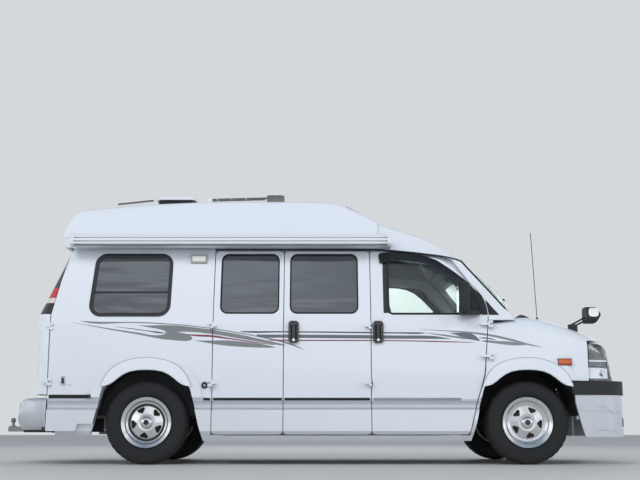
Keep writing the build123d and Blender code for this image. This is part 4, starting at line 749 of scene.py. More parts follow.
# %% Bars across the quarter windows
bar_z = 1551.0
for word, side in sides.items():
    rows = [(x, bar_z) for x in evenly(-1955, -1272, 80)]
    line, normals = on_side("fixed_glass", side, rows)
    sweep(f"bar_quarter_{word}", line, normals, rounded_section(14, -2, 9, 3.0), "van", gloss_black)
print("windows trimmed")

# %% [markdown]
# ## Cab windows: rear border, rain visor and black corner
# A smoked visor runs along the top of each cab window and shades it, standing off the paint at
# its lower edge. It is moulded from 3 mm acrylic sheet, so dark that it looks gloss black.
# Ahead of the glass a matt black panel fills the corner down to the wing, and carries the mirror.

# %% Rain visors
# columns: x and z of the upper edge, x and z of the lower edge, distance that the lower edge stands off
visor_rows = [
    (663, 1896, 672, 1826, 12), (668, 1922, 690, 1828, 20), (700, 1936, 716, 1834, 24),
    (800, 1938, 808, 1846, 24), (900, 1934, 902, 1849, 24), (1000, 1922, 985, 1845, 24),
    (1100, 1900, 1078, 1826, 24), (1203, 1861, 1166, 1786, 24), (1317, 1781, 1252, 1716, 22),
    (1400, 1716, 1330, 1636, 18), (1462, 1664, 1394, 1572, 12), (1500, 1632, 1446, 1548, 5),
]
# the belt line's height, half width and the lean of the side above it
belt_z = 1345.0
belt_half = 992.0
side_lean = 0.1985


def cab_plane(z, side, proud):
    """A point's Y on the flat upper side of the cab, proud by so many millimetres."""
    return side * (belt_half - (z - belt_z) * side_lean + proud)


def lean_normal(side):
    """The direction straight out of the cab's upper side."""
    return Vector((0, side * 0.98, 0.195))


for word, side in sides.items():
    rings = []
    for x0, z0, x1, z1, off in visor_rows:
        middle_x = (x0 + x1) / 2
        middle_z = (z0 + z1) / 2
        bow = off * 0.8
        outer = [(x0, z0, 1.5), (middle_x, middle_z, bow + 3), (x1, z1, off + 3)]
        inner = [(x1, z1, off), (middle_x, middle_z, bow), (x0, z0, -1.5)]
        rings.append([Vector((x, cab_plane(z, side, p), z)) * MM for x, z, p in outer + inner])
    piece(f"visor_{word}", *skin_rings(rings, True, False), f"front_door_{word}", gloss_black)
print(len(visor_rows), "stations in each visor")


# %% Flat panels on a side
def panel(name, node, body, side, outline, proud, material):
    """A thin moulded panel with a given outline in x and z, following the panel behind it."""
    line, normals = on_side(node, side, outline)
    outer = [p + n * (proud * MM) for p, n in zip(line, normals)]
    inner = [p - n * MM for p, n in zip(line, normals)]
    size = len(outline)
    faces = [tuple(range(size)), tuple(range(2 * size - 1, size - 1, -1))]
    faces += [(i, (i + 1) % size, size + (i + 1) % size, size + i) for i in range(size)]
    return piece(name, outer + inner, faces, body, material)


door_corner = [
    (1592, 1336), (1647, 1336), (1640, 1400), (1622, 1460), (1596, 1516), (1538, 1580), (1474, 1652),
    (1440, 1684), (1380, 1690), (1424, 1622), (1500, 1541), (1551, 1485), (1573, 1430), (1588, 1380),
]
sail_infill = [
    (1446, 1346), (1592, 1346), (1593, 1380), (1578, 1430), (1556, 1485), (1505, 1541), (1446, 1606),
]
fixed_corner = [
    (1657, 1336), (1752, 1336), (1704, 1392), (1656, 1454), (1634, 1476), (1640, 1440), (1650, 1390),
]
border_section = rounded_section(40, -1, 2.0, 1.0)
for word, side in sides.items():
    door = f"front_door_{word}"
    panel(f"corner_door_{word}", door, door, side, door_corner, 3.0, black_pp)
    panel(f"sail_{word}", door, door, side, sail_infill, 2.0, black_pp)
    panel(f"corner_fixed_{word}", "cab_front", "van", side, fixed_corner, 3.0, black_pp)
    strip(f"border_cab_{word}", door, door, side, 700, 744, 1372, 40, 1.5, gloss_black)
    line, normals = on_side(door, side, [(718, z) for z in evenly(1362, 1884, 60)])
    sweep(f"border_rear_{word}", line, normals, border_section, door, gloss_black)
print("cab windows trimmed")

# %% [markdown]
# ## Mirrors
# The heads are hollow mouldings with soft corners, so they are lofted from rounded outlines that
# swell and shrink with height. A thin plate of silvered glass closes the side that faces the
# driver, and a thick arm holds the head to the door.

# %% Door mirrors
# columns: z, middle x, middle distance from the centre line, half length, half width
head_rows = [
    (1322, 1424, 1098, 22, 40), (1328, 1421, 1099, 38, 60), (1345, 1418, 1100, 47, 72),
    (1400, 1416, 1100, 51, 77), (1470, 1416, 1100, 52, 78), (1540, 1416, 1100, 51, 77),
    (1590, 1417, 1099, 46, 72), (1608, 1419, 1098, 36, 60), (1614, 1421, 1097, 20, 42),
]
# x, distance from the centre line and z along the arm, from the head to the door
arm_rows = [(1440, 1088, 1356), (1474, 1072, 1350), (1508, 1048, 1350), (1540, 1018, 1356), (1560, 984, 1366)]
arm_section = rounded_section(62, -24, 26, 18.0, 5)
glass_outline = soft_outline(66, 124, 0.45, 40)
for word, side in sides.items():
    rings = [squircle(x, side * y, z, hx, hy, 4.0) for z, x, y, hx, hy in head_rows]
    head = piece(f"mirror_head_{word}", *skin_rings(rings, True, False), f"front_door_{word}", black_pp)
    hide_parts(f"door_mirror_{word}")
    arm_line = [Vector((x, side * y, z)) * MM for x, y, z in arm_rows]
    upward = [Vector((0, 0, 1))] * len(arm_line)
    sweep(f"mirror_arm_{word}", arm_line, upward, arm_section, f"front_door_{word}", black_pp)
    rings = []
    for x in (1365.0, 1362.0):
        rings.append([Vector((x, side * 1100 + a, 1468 + b)) * MM for a, b in glass_outline])
    piece(f"mirror_glass_{word}", *skin_rings(rings, True, False), f"front_door_{word}", mirror_glass)
print("door mirrors made")

# %% [markdown]
# ## Trim on the sides
# Rub strips are extruded rubber in lengths, one for each panel, so every door opens with its own.
# The front door's is a paler grey. A rubber gutter line runs along the top of the sides. The awning
# has two narrow printed stripes over a black line of painted shade at its lower edge. Caps, hatches,
# lamps and handles are small mouldings, so each is a turned cap or a rounded block seated on its panel.

# %% Rub strips
strip_z = 577.0
strip_width = 24.0
strip_proud = 5.0
# columns: name, panel, body, side, x of both ends
rub_rows = [
    ("rub_side_rear", "side_door_rear", "side_door_rear", -1, -842, -224),
    ("rub_side_front", "side_door_front", "side_door_front", -1, -200, 568),
    ("rub_quarter_right", "side_body_right", "van", -1, -930, -868),
    ("rub_side_left", "side_body_left", "van", 1, -930, 568),
]
for name, node, body, side, x0, x1 in rub_rows:
    strip(name, node, body, side, x0, x1, strip_z, strip_width, strip_proud, window_rubber)
for word, side in sides.items():
    door = f"front_door_{word}"
    strip(f"rub_door_{word}", door, door, side, 600, 1386, strip_z, strip_width, strip_proud, pad_grey)
    strip(f"rub_rear_{word}", f"side_body_{word}", "van", side, -2318, -1936, 600, 34, 4.0, window_rubber)
print("rub strips laid")

# %% Gutter lines
gutter_points = [
    (-2196, 1981), (-1752, 1976), (-600, 1971), (679, 1963), (1000, 1932), (1241, 1900), (1318, 1885),
    (1392, 1866), (1436, 1846),
]
for word, side in sides.items():
    line = []
    normals = []
    for (x0, z0), (x1, z1) in zip(gutter_points, gutter_points[1:]):
        for share in (0, 0.25, 0.5, 0.75):
            x = x0 + (x1 - x0) * share
            z = z0 + (z1 - z0) * share
            line.append(Vector((x, cab_plane(z, side, 3.0), z)) * MM)
            normals.append(lean_normal(side))
    sweep(f"gutter_{word}", line, normals, rounded_section(11, -5, 6, 2.5), "van", window_rubber)

# %% Awning bands
for number, (z, width) in enumerate([(2040, 7), (2006, 7), (1972, 10)]):
    rows = [(x, z) for x in evenly(-2140, 740, 90)]
    line, normals = on_side("awning", -1, rows)
    # the lowest, black band is painted shade at the awning's lower edge; the two above it are printed stripes
    colour = window_rubber if number == 2 else stripe_vinyl
    sweep(f"awning_band_{number}", line, normals, rounded_section(width, -1, 1.2, 0.5), "van", colour)
print("gutter and awning lines laid")


# %% Small side fittings
def round_cap(name, node, body, side, x, z, rows, material):
    """A turned cap on a side panel: rows of radius and height above the panel."""
    line, normals = on_side(node, side, [(x, z)])
    out = normals[0]
    across = Vector((1, 0, 0))
    up = out.cross(across)
    rings = []
    for radius, high in rows:
        ring = []
        for i in range(28):
            angle = 2 * math.pi * i / 28
            flat = across * math.cos(angle) + up * math.sin(angle)
            ring.append(line[0] + flat * (radius * MM) + out * (high * MM))
        rings.append(ring)
    return piece(name, *skin_rings(rings, True, False), body, material)


def box_fitting(name, node, body, side, x0, x1, z0, z1, proud, material, radius=6.0):
    """A moulded rounded block on a side panel, upright and seated on the panel's highest point."""
    middle_z = (z0 + z1) / 2
    tries = [(x, z) for x in evenly(x0, x1, 30) for z in (z0, middle_z, z1)]
    depth = max(abs(point.y) for point in on_side(node, side, tries)[0])
    line = [Vector((x * MM, side * depth, middle_z * MM)) for x in evenly(x0, x1, 30)]
    section = rounded_section(z1 - z0, -14, proud, radius, 4)
    return sweep(name, line, [Vector((0, side, 0))] * len(line), section, body, material)


cap_profile = [(30, -2), (30, 6), (24, 10), (22, 7), (0.5, 7)]
hub_profile = [(13, 5), (13, 11), (10, 14), (0.5, 14)]
round_cap("water_cap", "side_body_right", "van", -1, -920, 700, cap_profile, gloss_black)
round_cap("water_cap_hub", "side_body_right", "van", -1, -920, 700, hub_profile, chrome)
# columns: name, x of both ends, z of both ends, height above the panel, finish, corner radius
fitting_rows = [
    ("latch_plate", -2214, -2176, 700, 782, 5, chrome, 4.0),
    ("latch_grip", -2206, -2184, 716, 766, 13, gloss_black, 5.0),
    ("cable_hatch", -2160, -2120, 700, 730, 4, white_abs, 3.0),
    ("porch_lamp_base", -1080, -930, 1826, 1908, 14, porch_grey, 8.0),
    ("porch_lamp_lens", -1066, -944, 1838, 1896, 30, opal_lens, 16.0),
]
for name, x0, x1, z0, z1, proud, material, radius in fitting_rows:
    box_fitting(name, "side_body_right", "van", -1, x0, x1, z0, z1, proud, material, radius)
for word, side in sides.items():
    box_fitting(f"marker_base_{word}", f"wing_{word}", "van", side, 2262, 2388, 876, 938, 4, black_pp, 3.0)
    box_fitting(f"marker_lens_{word}", f"wing_{word}", "van", side, 2266, 2384, 881, 933, 12, amber_lens, 9.0)
print("side fittings placed")

# %% Handles
# columns: door, side and x of the handle's middle
handle_rows = [
    ("side_door_front", -1, -120.5), ("front_door_right", -1, 646.5), ("front_door_left", 1, 646.5),
]
handle_low = 1075.0
handle_high = 1281.0
handle_half = 50.0
door_skin = 1009.0


def on_handle(place, x):
    """Whether a face of the door, given by its centre, belongs to the handle at x."""
    proud = abs(place.y) > door_skin * MM
    level = handle_low * MM < place.z < handle_high * MM
    return proud and level and abs(place.x - x * MM) < handle_half * MM


for door, side, x in handle_rows:
    second_finish(door, gloss_black, lambda c, n: on_handle(c, x))
    line = [Vector((x, side * door_skin, z)) * MM for z in evenly(1112, 1244, 30)]
    out = [Vector((0, side, 0))] * len(line)
    sweep(f"handle_recess_{door}", line, out, rounded_section(58, -4, 0.5, 1.0), door, black_pp)
    rings = []
    for radius, y in ((12, 1024), (11, 1031)):
        rings.append([Vector((x + u, side * y, 1106 + v)) * MM for u, v in ring_section(radius, 24)])
    piece(f"lock_{door}", *skin_rings(rings, True, False), door, chrome)
print(len(handle_rows), "handles")

# %% [markdown]
# ## Wheels
# A road tyre is a turned shape with rounded shoulders. Four grooves run round the tread, and
# short cuts open its shoulders between the blocks, which is what makes the edge look toothed.
# One mesh serves all four tyres. It stays inside the size of the plain tyre that it stands for.

# %% Tyres
# rows from the rim over the tread: radius and offset, for one half
tyre_half = [
    (226, 84), (232, 94), (240, 99), (247, 104), (254, 105), (258, 108), (275, 111), (300, 112.6),
    (322, 111), (338, 107.5), (341, 109), (346, 107.5), (352, 103), (360, 97), (366.5, 90), (369.5, 82),
    (370, 74), (370.3, 66), (370.5, 57), (370.6, 55.6), (370.7, 49.4), (370.8, 48), (371, 38), (371.2, 30),
    (371.4, 21.6), (371.4, 20.2), (371.4, 14.8), (371.4, 13.4), (371.5, 6),
]
tyre_rows = [(r, -y) for r, y in tyre_half] + [(r, y) for r, y in reversed(tyre_half)]
tread_segments = 252
block_length = 7
groove_depth = 7.0
rib_cut = 3.0
side_wall_end = 345


def tread(i, radius, y):
    """How far the tread is cut back at one place."""
    if radius < side_wall_end:
        return 0.0
    wide = abs(y)
    # two grooves run round each half of the tread
    if 48.5 < wide < 56.0 and radius > 360 or 14 < wide < 21.8:
        return -groove_depth
    # open cuts between the shoulder blocks, shallower where they run down the side wall
    if wide > 62 and i % block_length in (0, 1):
        return -groove_depth * (0.9 if wide < 95 else 0.5)
    # shallow cuts across the ribs between the grooves
    if 22 < wide < 48 and i % block_length == 4:
        return -rib_cut
    return 0.0


first_tyre = None
wheel_words = [(end, word) for end in ("front", "rear") for word in sides]
for end, word in wheel_words:
    node = f"tyre_{end}_{word}"
    body = f"wheel_{end}_{word}"
    if first_tyre is None:
        made = turned("road_" + node, tyre_rows, tread_segments, centre(node), body, tyre_rubber, tread)
        first_tyre = made
    else:
        made = new_object("road_" + node, first_tyre.data)
        made.location = centre(node)
        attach(made, body)
    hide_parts(node)
print(len(first_tyre.data.polygons), "faces in the shared tyre")

# %% [markdown]
# Behind the open spokes sit a brake disc at the front and a drum at the back. They ride on the
# wheel and turn with it. Bare cast iron shows dark through the windows and sets off the polish.

# %% Brakes, caps and lips
# rows of radius and offset from the wheel's middle plane, outward
brake_rows = {
    "front": [(60, 10), (168, 10), (170, 12), (170, 30), (168, 32), (60, 32)],
    "rear": [(60, 14), (158, 14), (166, 20), (168, 30), (168, 60), (150, 64)],
}
cap_rows = [(0.3, 100), (20, 99), (38, 95), (50, 88), (56, 80), (58, 72), (58, 60)]
disc_rows = [(0.3, 102), (21, 101), (24, 98.5), (24, 90)]
# the dished lip between the flange and the spokes
lip_profile = [
    (193.5, 86), (190, 75), (184, 68), (172, 61), (158, 56.8), (151, 56), (151, 53), (172, 57), (191, 68),
]
for end, word in wheel_words:
    side = sides[word]
    hub = centre(f"rim_{end}_{word}")
    for name, profile, segments, material in [("brake", brake_rows[end], 64, cast_iron),
                                              ("cap", cap_rows, 48, chrome),
                                              ("cap_disc", disc_rows, 40, gloss_black),
                                              ("rim_bowl", lip_profile, 96, polished)]:
        rows = [(r, side * y) for r, y in profile]
        turned(f"{name}_{end}_{word}", rows, segments, hub, f"wheel_{end}_{word}", material)
print("brakes and caps fitted")

# %% [markdown]
# ## Arch brows
# A raised painted moulding follows each wheel opening: thick over the wheel and thin at its ends.
# It is built from two curves in side view, the opening's edge and the moulding's outer edge, with
# a domed section between them.

# %% Brow curves
# columns: x from the axle and height of the inner edge, then of the outer edge
brow_half = [
    (0, 837, 0, 949), (76, 833, 84, 943), (146, 820, 166, 926), (200, 797, 238, 900),
    (250, 762, 298, 864), (290, 728, 336, 826), (328, 704, 362, 790), (358, 694, 384, 746),
    (388, 690, 400, 712), (392, 684, 404, 690),
]
brow_rows = [(-a, b, -c, d) for a, b, c, d in reversed(brow_half[1:])] + brow_half
# share of the way from the inner to the outer edge, and height above the body side
brow_dome = [
    (0.0, 8), (0.0, 33), (0.05, 37), (0.2, 36), (0.45, 32), (0.7, 28), (0.9, 25), (1.0, 23.5), (1.0, -3),
]
body_half = 1006.0
for end, word in wheel_words:
    side = sides[word]
    axle = centre(f"rim_{end}_{word}").x / MM
    rings = []
    for x0, z0, x1, z1 in brow_rows:
        ring = []
        for share, proud in brow_dome:
            x = axle + x0 + (x1 - x0) * share
            z = z0 + (z1 - z0) * share
            ring.append(Vector((x, side * (body_half + proud), z)) * MM)
        rings.append(ring)
    piece(f"brow_{end}_{word}", *skin_rings(rings, True, False), "van", enamel_plain)
    # a thin grey line follows the outer edge: painted shade where the moulding steps down to the panel
    line = [Vector((axle + x1, side * (body_half + 22.0), z1)) * MM for x0, z0, x1, z1 in brow_rows]
    normals = [Vector((0, side, 0))] * len(line)
    sweep(f"brow_shade_line_{end}_{word}", line, normals, rounded_section(5, -4, 3, 2.0), "van", pad_grey)
print(len(brow_rows), "stations in each brow")

# %% [markdown]
# ## Bumpers
# The rear bumper is one moulding that wraps the tail in plan and rounds over at its top and
# bottom. A stack of the same plan, drawn in a little at the ends, gives that shape. Short returns
# carry its line forward to the body. The front bumper's shape is in the frame, and here it gets
# its pressed lines and slatted vents.

# %% Rear bumper
bumper_half = 1001.0


def wrap_plan(z, draw, inner):
    """The bumper's plan at one height, drawn in from its outer face; inner is its wall."""
    half = bumper_half - draw
    front = -2377.0
    knee = -2420.0
    reach = 262.0 - draw
    width = 430.0
    right = [(front, half)]
    for step in range(17):
        angle = math.pi / 2 * step / 16
        right.append((knee - reach * math.sin(angle), half - width + width * math.cos(angle)))
    outer = right + [(x, -y) for x, y in reversed(right)]
    inside = []
    for side, turns in ((-1, range(9)), (1, range(8, -1, -1))):
        for step in turns:
            angle = math.pi / 2 * step / 8
            x = knee - (reach - inner) * math.sin(angle)
            inside.append((x, side * (half - width + (width - inner) * math.cos(angle))))
    inside = [(front, -(half - inner))] + inside + [(front, half - inner)]
    return [Vector((x, y, z)) * MM for x, y in outer + inside]


# columns: height and how far the face is drawn in
bumper_levels = [
    (306, 64), (314, 46), (332, 28), (360, 14), (400, 4), (440, 0), (540, 0), (564, 4), (578, 12), (587, 28),
]
rings = [wrap_plan(z, draw, 70.0) for z, draw in bumper_levels]
bumper = piece("bumper_rear_shell", *skin_rings(rings, True, False), "van", silver_abs)
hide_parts("rear_bumper")
return_levels = [(z, draw) for z, draw in bumper_levels if draw < 30]
for word, side in sides.items():
    rings = []
    for x in (-2375.5, -2338.0):
        ring = [Vector((x, side * (bumper_half - draw), z)) * MM for z, draw in return_levels]
        ring += [Vector((x, side * (930.0 - draw), z)) * MM for z, draw in reversed(return_levels)]
        rings.append(ring)
    piece(f"bumper_return_{word}", *skin_rings(rings, True, False), "van", silver_abs)
print("rear bumper lofted")

# %% Front bumper lines
# a ridge that steps down towards the corner, and a lower lip
ridge_rows = [(2590, 512), (2640, 512), (2672, 508), (2700, 492), (2724, 468), (2750, 452), (2790, 444)]
lip_rows = [(2590, 306), (2650, 304), (2710, 300), (2770, 298)]
line_section = rounded_section(9, -2, 4, 2.5)
for word, side in sides.items():
    for number, rows in enumerate((ridge_rows, lip_rows)):
        dense = []
        for (x0, z0), (x1, z1) in zip(rows, rows[1:]):
            dense += [(x0 + (x1 - x0) * s / 3, z0 + (z1 - z0) * s / 3) for s in range(3)]
        line, normals = on_side("front_bumper", side, dense + [rows[-1]])
        sweep(f"bumper_line_{word}_{number}", line, normals, line_section, "van", silver_abs)
print("front bumper lines laid")


# %% Front bumper openings
def on_end(node, way, rows):
    """Points where rows of y and z, in millimetres, meet a part seen from the front (1) or back (-1)."""
    found = [touch(node, (way * 4.0, y * MM, z * MM), (-way, 0, 0)) for y, z in rows]
    usual = way * max(way * hit[0].x for hit in found if hit)
    line = [hit[0] if hit else Vector((usual, y * MM, z * MM)) for (y, z), hit in zip(rows, found)]
    return line, [hit[1] if hit else Vector((way, 0, 0)) for hit in found]


for word, side in sides.items():
    line, normals = on_end("front_bumper", 1, [(side * y, 372) for y in evenly(760, 880, 20)])
    sweep(f"bumper_vent_{word}", line, normals, rounded_section(74, -2, 2.5, 2.0), "van", black_pp)
    for number, z in enumerate((352, 372, 392)):
        line, normals = on_end("front_bumper", 1, [(side * y, z) for y in evenly(764, 876, 20)])
        sweep(f"bumper_slat_{word}_{number}", line, normals, rounded_section(7, 1, 6, 2.5), "van", silver_abs)
print("front bumper vents fitted")

# %% [markdown]
# ## Headlamps
# A lamp body wraps the corner of the van, so it is measured in a fan of rays from a point inside:
# each ray gives one point of its outer face. The body behind the lens is a stack of blocks with
# their faces at different depths, some vacuum metallised and some black. Over them lies one clear
# lens, about 3 mm thick.

# %% Fan of a lamp
fan_x = 2500.0
fan_y = 550.0
fan_angles = [12 + 74 * i / 18 for i in range(19)]
# in metres: how far out the rays start, and the reach where one misses the lamp
fan_start = 1.5
fan_reach = 0.33


def fan_out(side, angle):
    """The direction of one ray of the fan, in degrees from straight ahead."""
    turn = math.radians(angle)
    return Vector((math.cos(turn), side * math.sin(turn), 0.0))


def fan_point(side, angle, z, depth):
    out = fan_out(side, angle)
    middle = Vector((fan_x, side * fan_y, z)) * MM
    hit = touch("headlamps", middle + out * fan_start, -out)
    reach = (hit[0] - middle).length if hit else fan_reach
    return middle + out * (reach - depth * MM)


def grid_slab(name, front, back, body, material):
    """A closed slab between two grids of points with the same rows and columns."""
    rows = len(front)
    columns = len(front[0])
    corners = [p for row in front for p in row] + [p for row in back for p in row]
    size = rows * columns
    faces = []
    for i in range(rows - 1):
        for j in range(columns - 1):
            a = i * columns + j
            quad = (a, a + 1, a + columns + 1, a + columns)
            faces.append(quad)
            faces.append(tuple(size + k for k in reversed(quad)))
    rim = list(range(columns)) + [i * columns + columns - 1 for i in range(1, rows)]
    rim += list(range(size - 2, size - columns - 1, -1)) + [i * columns for i in range(rows - 2, 0, -1)]
    for a, b in zip(rim, rim[1:] + rim[:1]):
        faces.append((a, b, size + b, size + a))
    return piece(name, corners, faces, body, material)


def lamp_slab(name, side, z_low, z_high, depth, back_depth, material, angles=fan_angles, levels=5):
    heights = [z_low + (z_high - z_low) * i / (levels - 1) for i in range(levels)]
    front = [[fan_point(side, a, z, depth) for a in angles] for z in heights]
    back = [[fan_point(side, a, z, back_depth) for a in angles] for z in heights]
    return grid_slab(name, front, back, "van", material)


# columns: name, lowest and highest z, depth behind the lens, finish
lamp_bands = [
    ("foot", 743, 764, 4, gloss_black),
    ("dip", 764, 862, 34, reflector),
    ("bar_low", 862, 876, 8, gloss_black),
    ("main", 876, 914, 34, lamp_grey),
    ("bar_high", 914, 930, 6, reflector),
    ("turn", 930, 1062, 20, lamp_smoke),
    ("head", 1062, 1076, 5, gloss_black),
]
# columns: angle in the fan, height and radius of each bowl
lamp_bowls = [(30, 812, 40), (60, 814, 30), (30, 896, 15)]
# share of the bowl's radius, and distance forward of its middle
bowl_profile = [(1.0, 6), (0.98, 0), (0.86, -9), (0.6, -13), (0.3, -8), (0.12, 2), (0.01, 4)]
upright = Vector((0, 0, 1))
for word, side in sides.items():
    for name, low, high, depth, material in lamp_bands:
        lamp_slab(f"lamp_{name}_{word}", side, low, high, depth, 70, material)
    lamp_slab(f"lamp_lens_{word}", side, 744, 1075, 0.6, 3.4, clear_lens, levels=12)
    for number, angle in enumerate((12, 46, 84)):
        post = [angle, angle + 2.5]
        lamp_slab(f"lamp_post_{word}_{number}", side, 764, 1062, 6, 40, gloss_black, angles=post, levels=6)
    for number, (angle, z, radius) in enumerate(lamp_bowls):
        middle = fan_point(side, angle, z, 20)
        out = fan_out(side, angle)
        across = upright.cross(out)
        rings = []
        for share, depth in bowl_profile:
            ring = []
            for i in range(28):
                turn = 2 * math.pi * i / 28
                flat = across * math.cos(turn) + upright * math.sin(turn)
                ring.append(middle + flat * (radius * share * MM) + out * (depth * MM))
            rings.append(ring)
        piece(f"lamp_bowl_{word}_{number}", *skin_rings(rings, True, False), "van", reflector)
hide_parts("headlamps")

# %% [markdown]
# ## Windscreen
# The windscreen is one sheet of laminated glass. Across its middle it is nearly flat, and it curls
# back at its ends, where it meets the pillars in a black printed border. It is a slab 6 mm thick
# over a grid of points, whose distance forward comes from a table of heights.

# %% Windscreen shape
# columns: height, x of the glass at its ends, x of the glass over most of its width
screen_rows = [
    (1394, 1827, 1909), (1425, 1801, 1921), (1455, 1776, 1926), (1490, 1747, 1914), (1536, 1709, 1888),
    (1588, 1666, 1850), (1638, 1624, 1800), (1708, 1565, 1715), (1777, 1506, 1620), (1820, 1471, 1548),
    (1856, 1441, 1486),
]
screen_half = 868.0
# the direction out of the glass: its parts along x, y and z
screen_out = (0.66, 0.0, 0.75)


def screen_x(y, z):
    """How far forward the glass lies at one place, in millimetres."""
    rows = screen_rows
    z = min(max(z, rows[0][0]), rows[-1][0])
    for (z0, e0, m0), (z1, e1, m1) in zip(rows, rows[1:]):
        if z0 <= z <= z1:
            share = (z - z0) / (z1 - z0)
            edge = e0 + (e1 - e0) * share
            middle = m0 + (m1 - m0) * share
            return edge + (middle - edge) * (1 - abs(y / screen_half) ** 5)
    return rows[-1][2]


def screen_point(y, z, out=0.0):
    return Vector((screen_x(y, z) + out * screen_out[0], y, z + out * screen_out[2])) * MM


screen_ys = [screen_half * math.sin(math.pi / 2 * i / 16) for i in range(-16, 17)]
screen_zs = [z for z0, z1 in zip(screen_rows, screen_rows[1:]) for z in (z0[0], (z0[0] + z1[0]) / 2)]
screen_zs.append(screen_rows[-1][0])
screen_front = [[screen_point(y, z) for y in screen_ys] for z in screen_zs]
screen_back = [[screen_point(y, z, -6.0) for y in screen_ys] for z in screen_zs]
screen = grid_slab("screen_glass", screen_front, screen_back, "van", screen_glass)
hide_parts("windscreen")

# %% Screen border
border_lines = {
    "foot": [(y, 1422) for y in screen_ys], "head": [(y, 1850) for y in screen_ys],
    "right": [(-862, z) for z in screen_zs], "left": [(862, z) for z in screen_zs],
}
border_widths = {"foot": 14, "head": 26, "right": 16, "left": 16}
for name, rows in border_lines.items():
    line = [screen_point(y, z) for y, z in rows]
    normals = [Vector(screen_out)] * len(line)
    section = rounded_section(border_widths[name], -5, 1.5, 1.0)
    sweep("screen_border_" + name, line, normals, section, "van", gloss_black)
# the glass turns back at its ends, darkened by the print behind it, and closes down to the pillars
for word, side in sides.items():
    near = [screen_point(side * 866, z, -1.0) for z in screen_zs]
    far = [p + Vector((-0.055, side * 0.004, 0)) for p in near]
    front = [near, [p + Vector((0, -side * 0.004, 0)) for p in near]]
    back = [far, [p + Vector((0, -side * 0.012, 0)) for p in far]]
    rings = [[a, b, d, c] for a, b, c, d in zip(front[0], front[1], back[0], back[1])]
    piece(f"screen_return_{word}", *skin_rings(rings, True, False), "van", border_glass)
    # a black moulding hides the joint between glass and pillar
    line = [Vector((edge - 15, cab_plane(z, side, 0.0), z)) * MM for z, edge, middle in screen_rows]
    normals = [lean_normal(side)] * len(line)
    sweep(f"screen_moulding_{word}", line, normals, rounded_section(16, -6, 2.5, 1.5), "van", window_rubber)
print(len(screen_front) * len(screen_ys), "points on the windscreen")

# %% [markdown]
# ## Scuttle and wipers
# A black plastic scuttle covers the air intake between the bonnet and the windscreen. It is
# clipped to the back edge of the bonnet and lifts with it. Two wipers are parked on the glass,
# each a thin arm and a rubber blade. The arms lie close to the glass as far up as the scuttle
# reaches when the bonnet is open.

# %% Scuttle
# columns: x and height above the bonnet's own skin
scuttle_rows = [(1978, 2), (1994, 12), (2016, 30), (2040, 46), (2064, 40), (2087, 22), (2104, 4)]
bonnet_edge_z = 1330.0
middle_share = 0.72
end_share = 0.35
scuttle_front = []
scuttle_back = []
for y in evenly(-728, 728, 52):
    # the hump is lower over the middle of the bonnet, and falls away at both ends
    fall = 1 - abs(y / 760.0) ** 8
    limit = middle_share if abs(y) < 450 else 1.0
    front = []
    back = []
    for x, high in scuttle_rows:
        hit = touch("bonnet", (x * MM, y * MM, 3.0), (0, 0, -1))
        z = hit[0].z / MM if hit and hit[0].z > 1.2 else bonnet_edge_z
        front.append(Vector((x, y, z + high * limit * max(end_share, fall))) * MM)
        back.append(Vector((x, y, z - 1.0)) * MM)
    scuttle_front.append(front)
    scuttle_back.append(back)
grid_slab("scuttle", scuttle_front, scuttle_back, "bonnet", black_pp)

# %% Wipers
for number, (pivot_y, tip_y) in enumerate([(430, -60), (-150, -640)]):
    places = [(pivot_y + (tip_y - pivot_y) * s / 10, 1500 + 22 * s / 10) for s in range(1, 11)]
    line = [screen_point(y, z) for y, z in places]
    normals = [Vector(screen_out)] * len(line)
    sweep(f"wiper_blade_{number}", line, normals, rounded_section(9, 1, 11, 2.0), "van", window_rubber)
    arm = [screen_point(pivot_y, z) for z in (1412, 1425, 1440, 1455, 1472, 1490)]
    arm += [screen_point(*places[2], 12), screen_point(*places[4], 11)]
    arm_normals = [Vector((0.98, 0, 0.2))] * 5 + [normals[0]] * 3
    sweep(f"wiper_arm_{number}", arm, arm_normals, rounded_section(12, -3, 1.2, 1.0), "van", gloss_black)
print("scuttle and wipers fitted")

# %% [markdown]
# ## Moulded roof skin
# The raised roof is one glass-fibre moulding: straight sloping sides, a rounded shoulder and a
# slightly crowned top. It is lofted here as a shell 6 mm thick over the frame's own roof, from
# stations along the van that give the height of its shoulder.

# %% Roof skin
# columns: x and shoulder height
shoulder_rows = [
    (-2304, 2120), (-2300, 2160), (-2290, 2198), (-2268, 2256), (-2238, 2322), (-2218, 2352), (-2194, 2372),
    (-2160, 2384), (-2080, 2391), (-1960, 2402), (-1712, 2428), (-1395, 2453), (-1086, 2468), (-566, 2476),
    (-40, 2476), (120, 2472), (232, 2462), (312, 2446), (376, 2418), (437, 2384), (528, 2334), (608, 2290),
    (664, 2256),
]
# the height and half width of the roof's foot, the lean of its sides, its shoulder radius and crown
roof_foot = 2092.0
roof_half = 823.5
roof_lean = 0.445
shoulder_radius = 36.0
crown = 26.0
shell = 6.0


def roof_side(z):
    """Half width of the raised roof's sloping side at one height, in millimetres."""
    return roof_half - (z - roof_foot) * roof_lean


def shoulder_at(x):
    for (x0, z0), (x1, z1) in zip(shoulder_rows, shoulder_rows[1:]):
        if x0 <= x <= x1:
            return z0 + (z1 - z0) * (x - x0) / (x1 - x0)
    return shoulder_rows[-1][1]


def roof_top(x, y):
    """Height of the roof skin at a place, in millimetres, inside its shoulders."""
    shoulder = shoulder_at(x)
    reach = roof_side(shoulder) - shoulder_radius
    return shoulder + crown * max(0.0, 1 - (y / reach) ** 2)


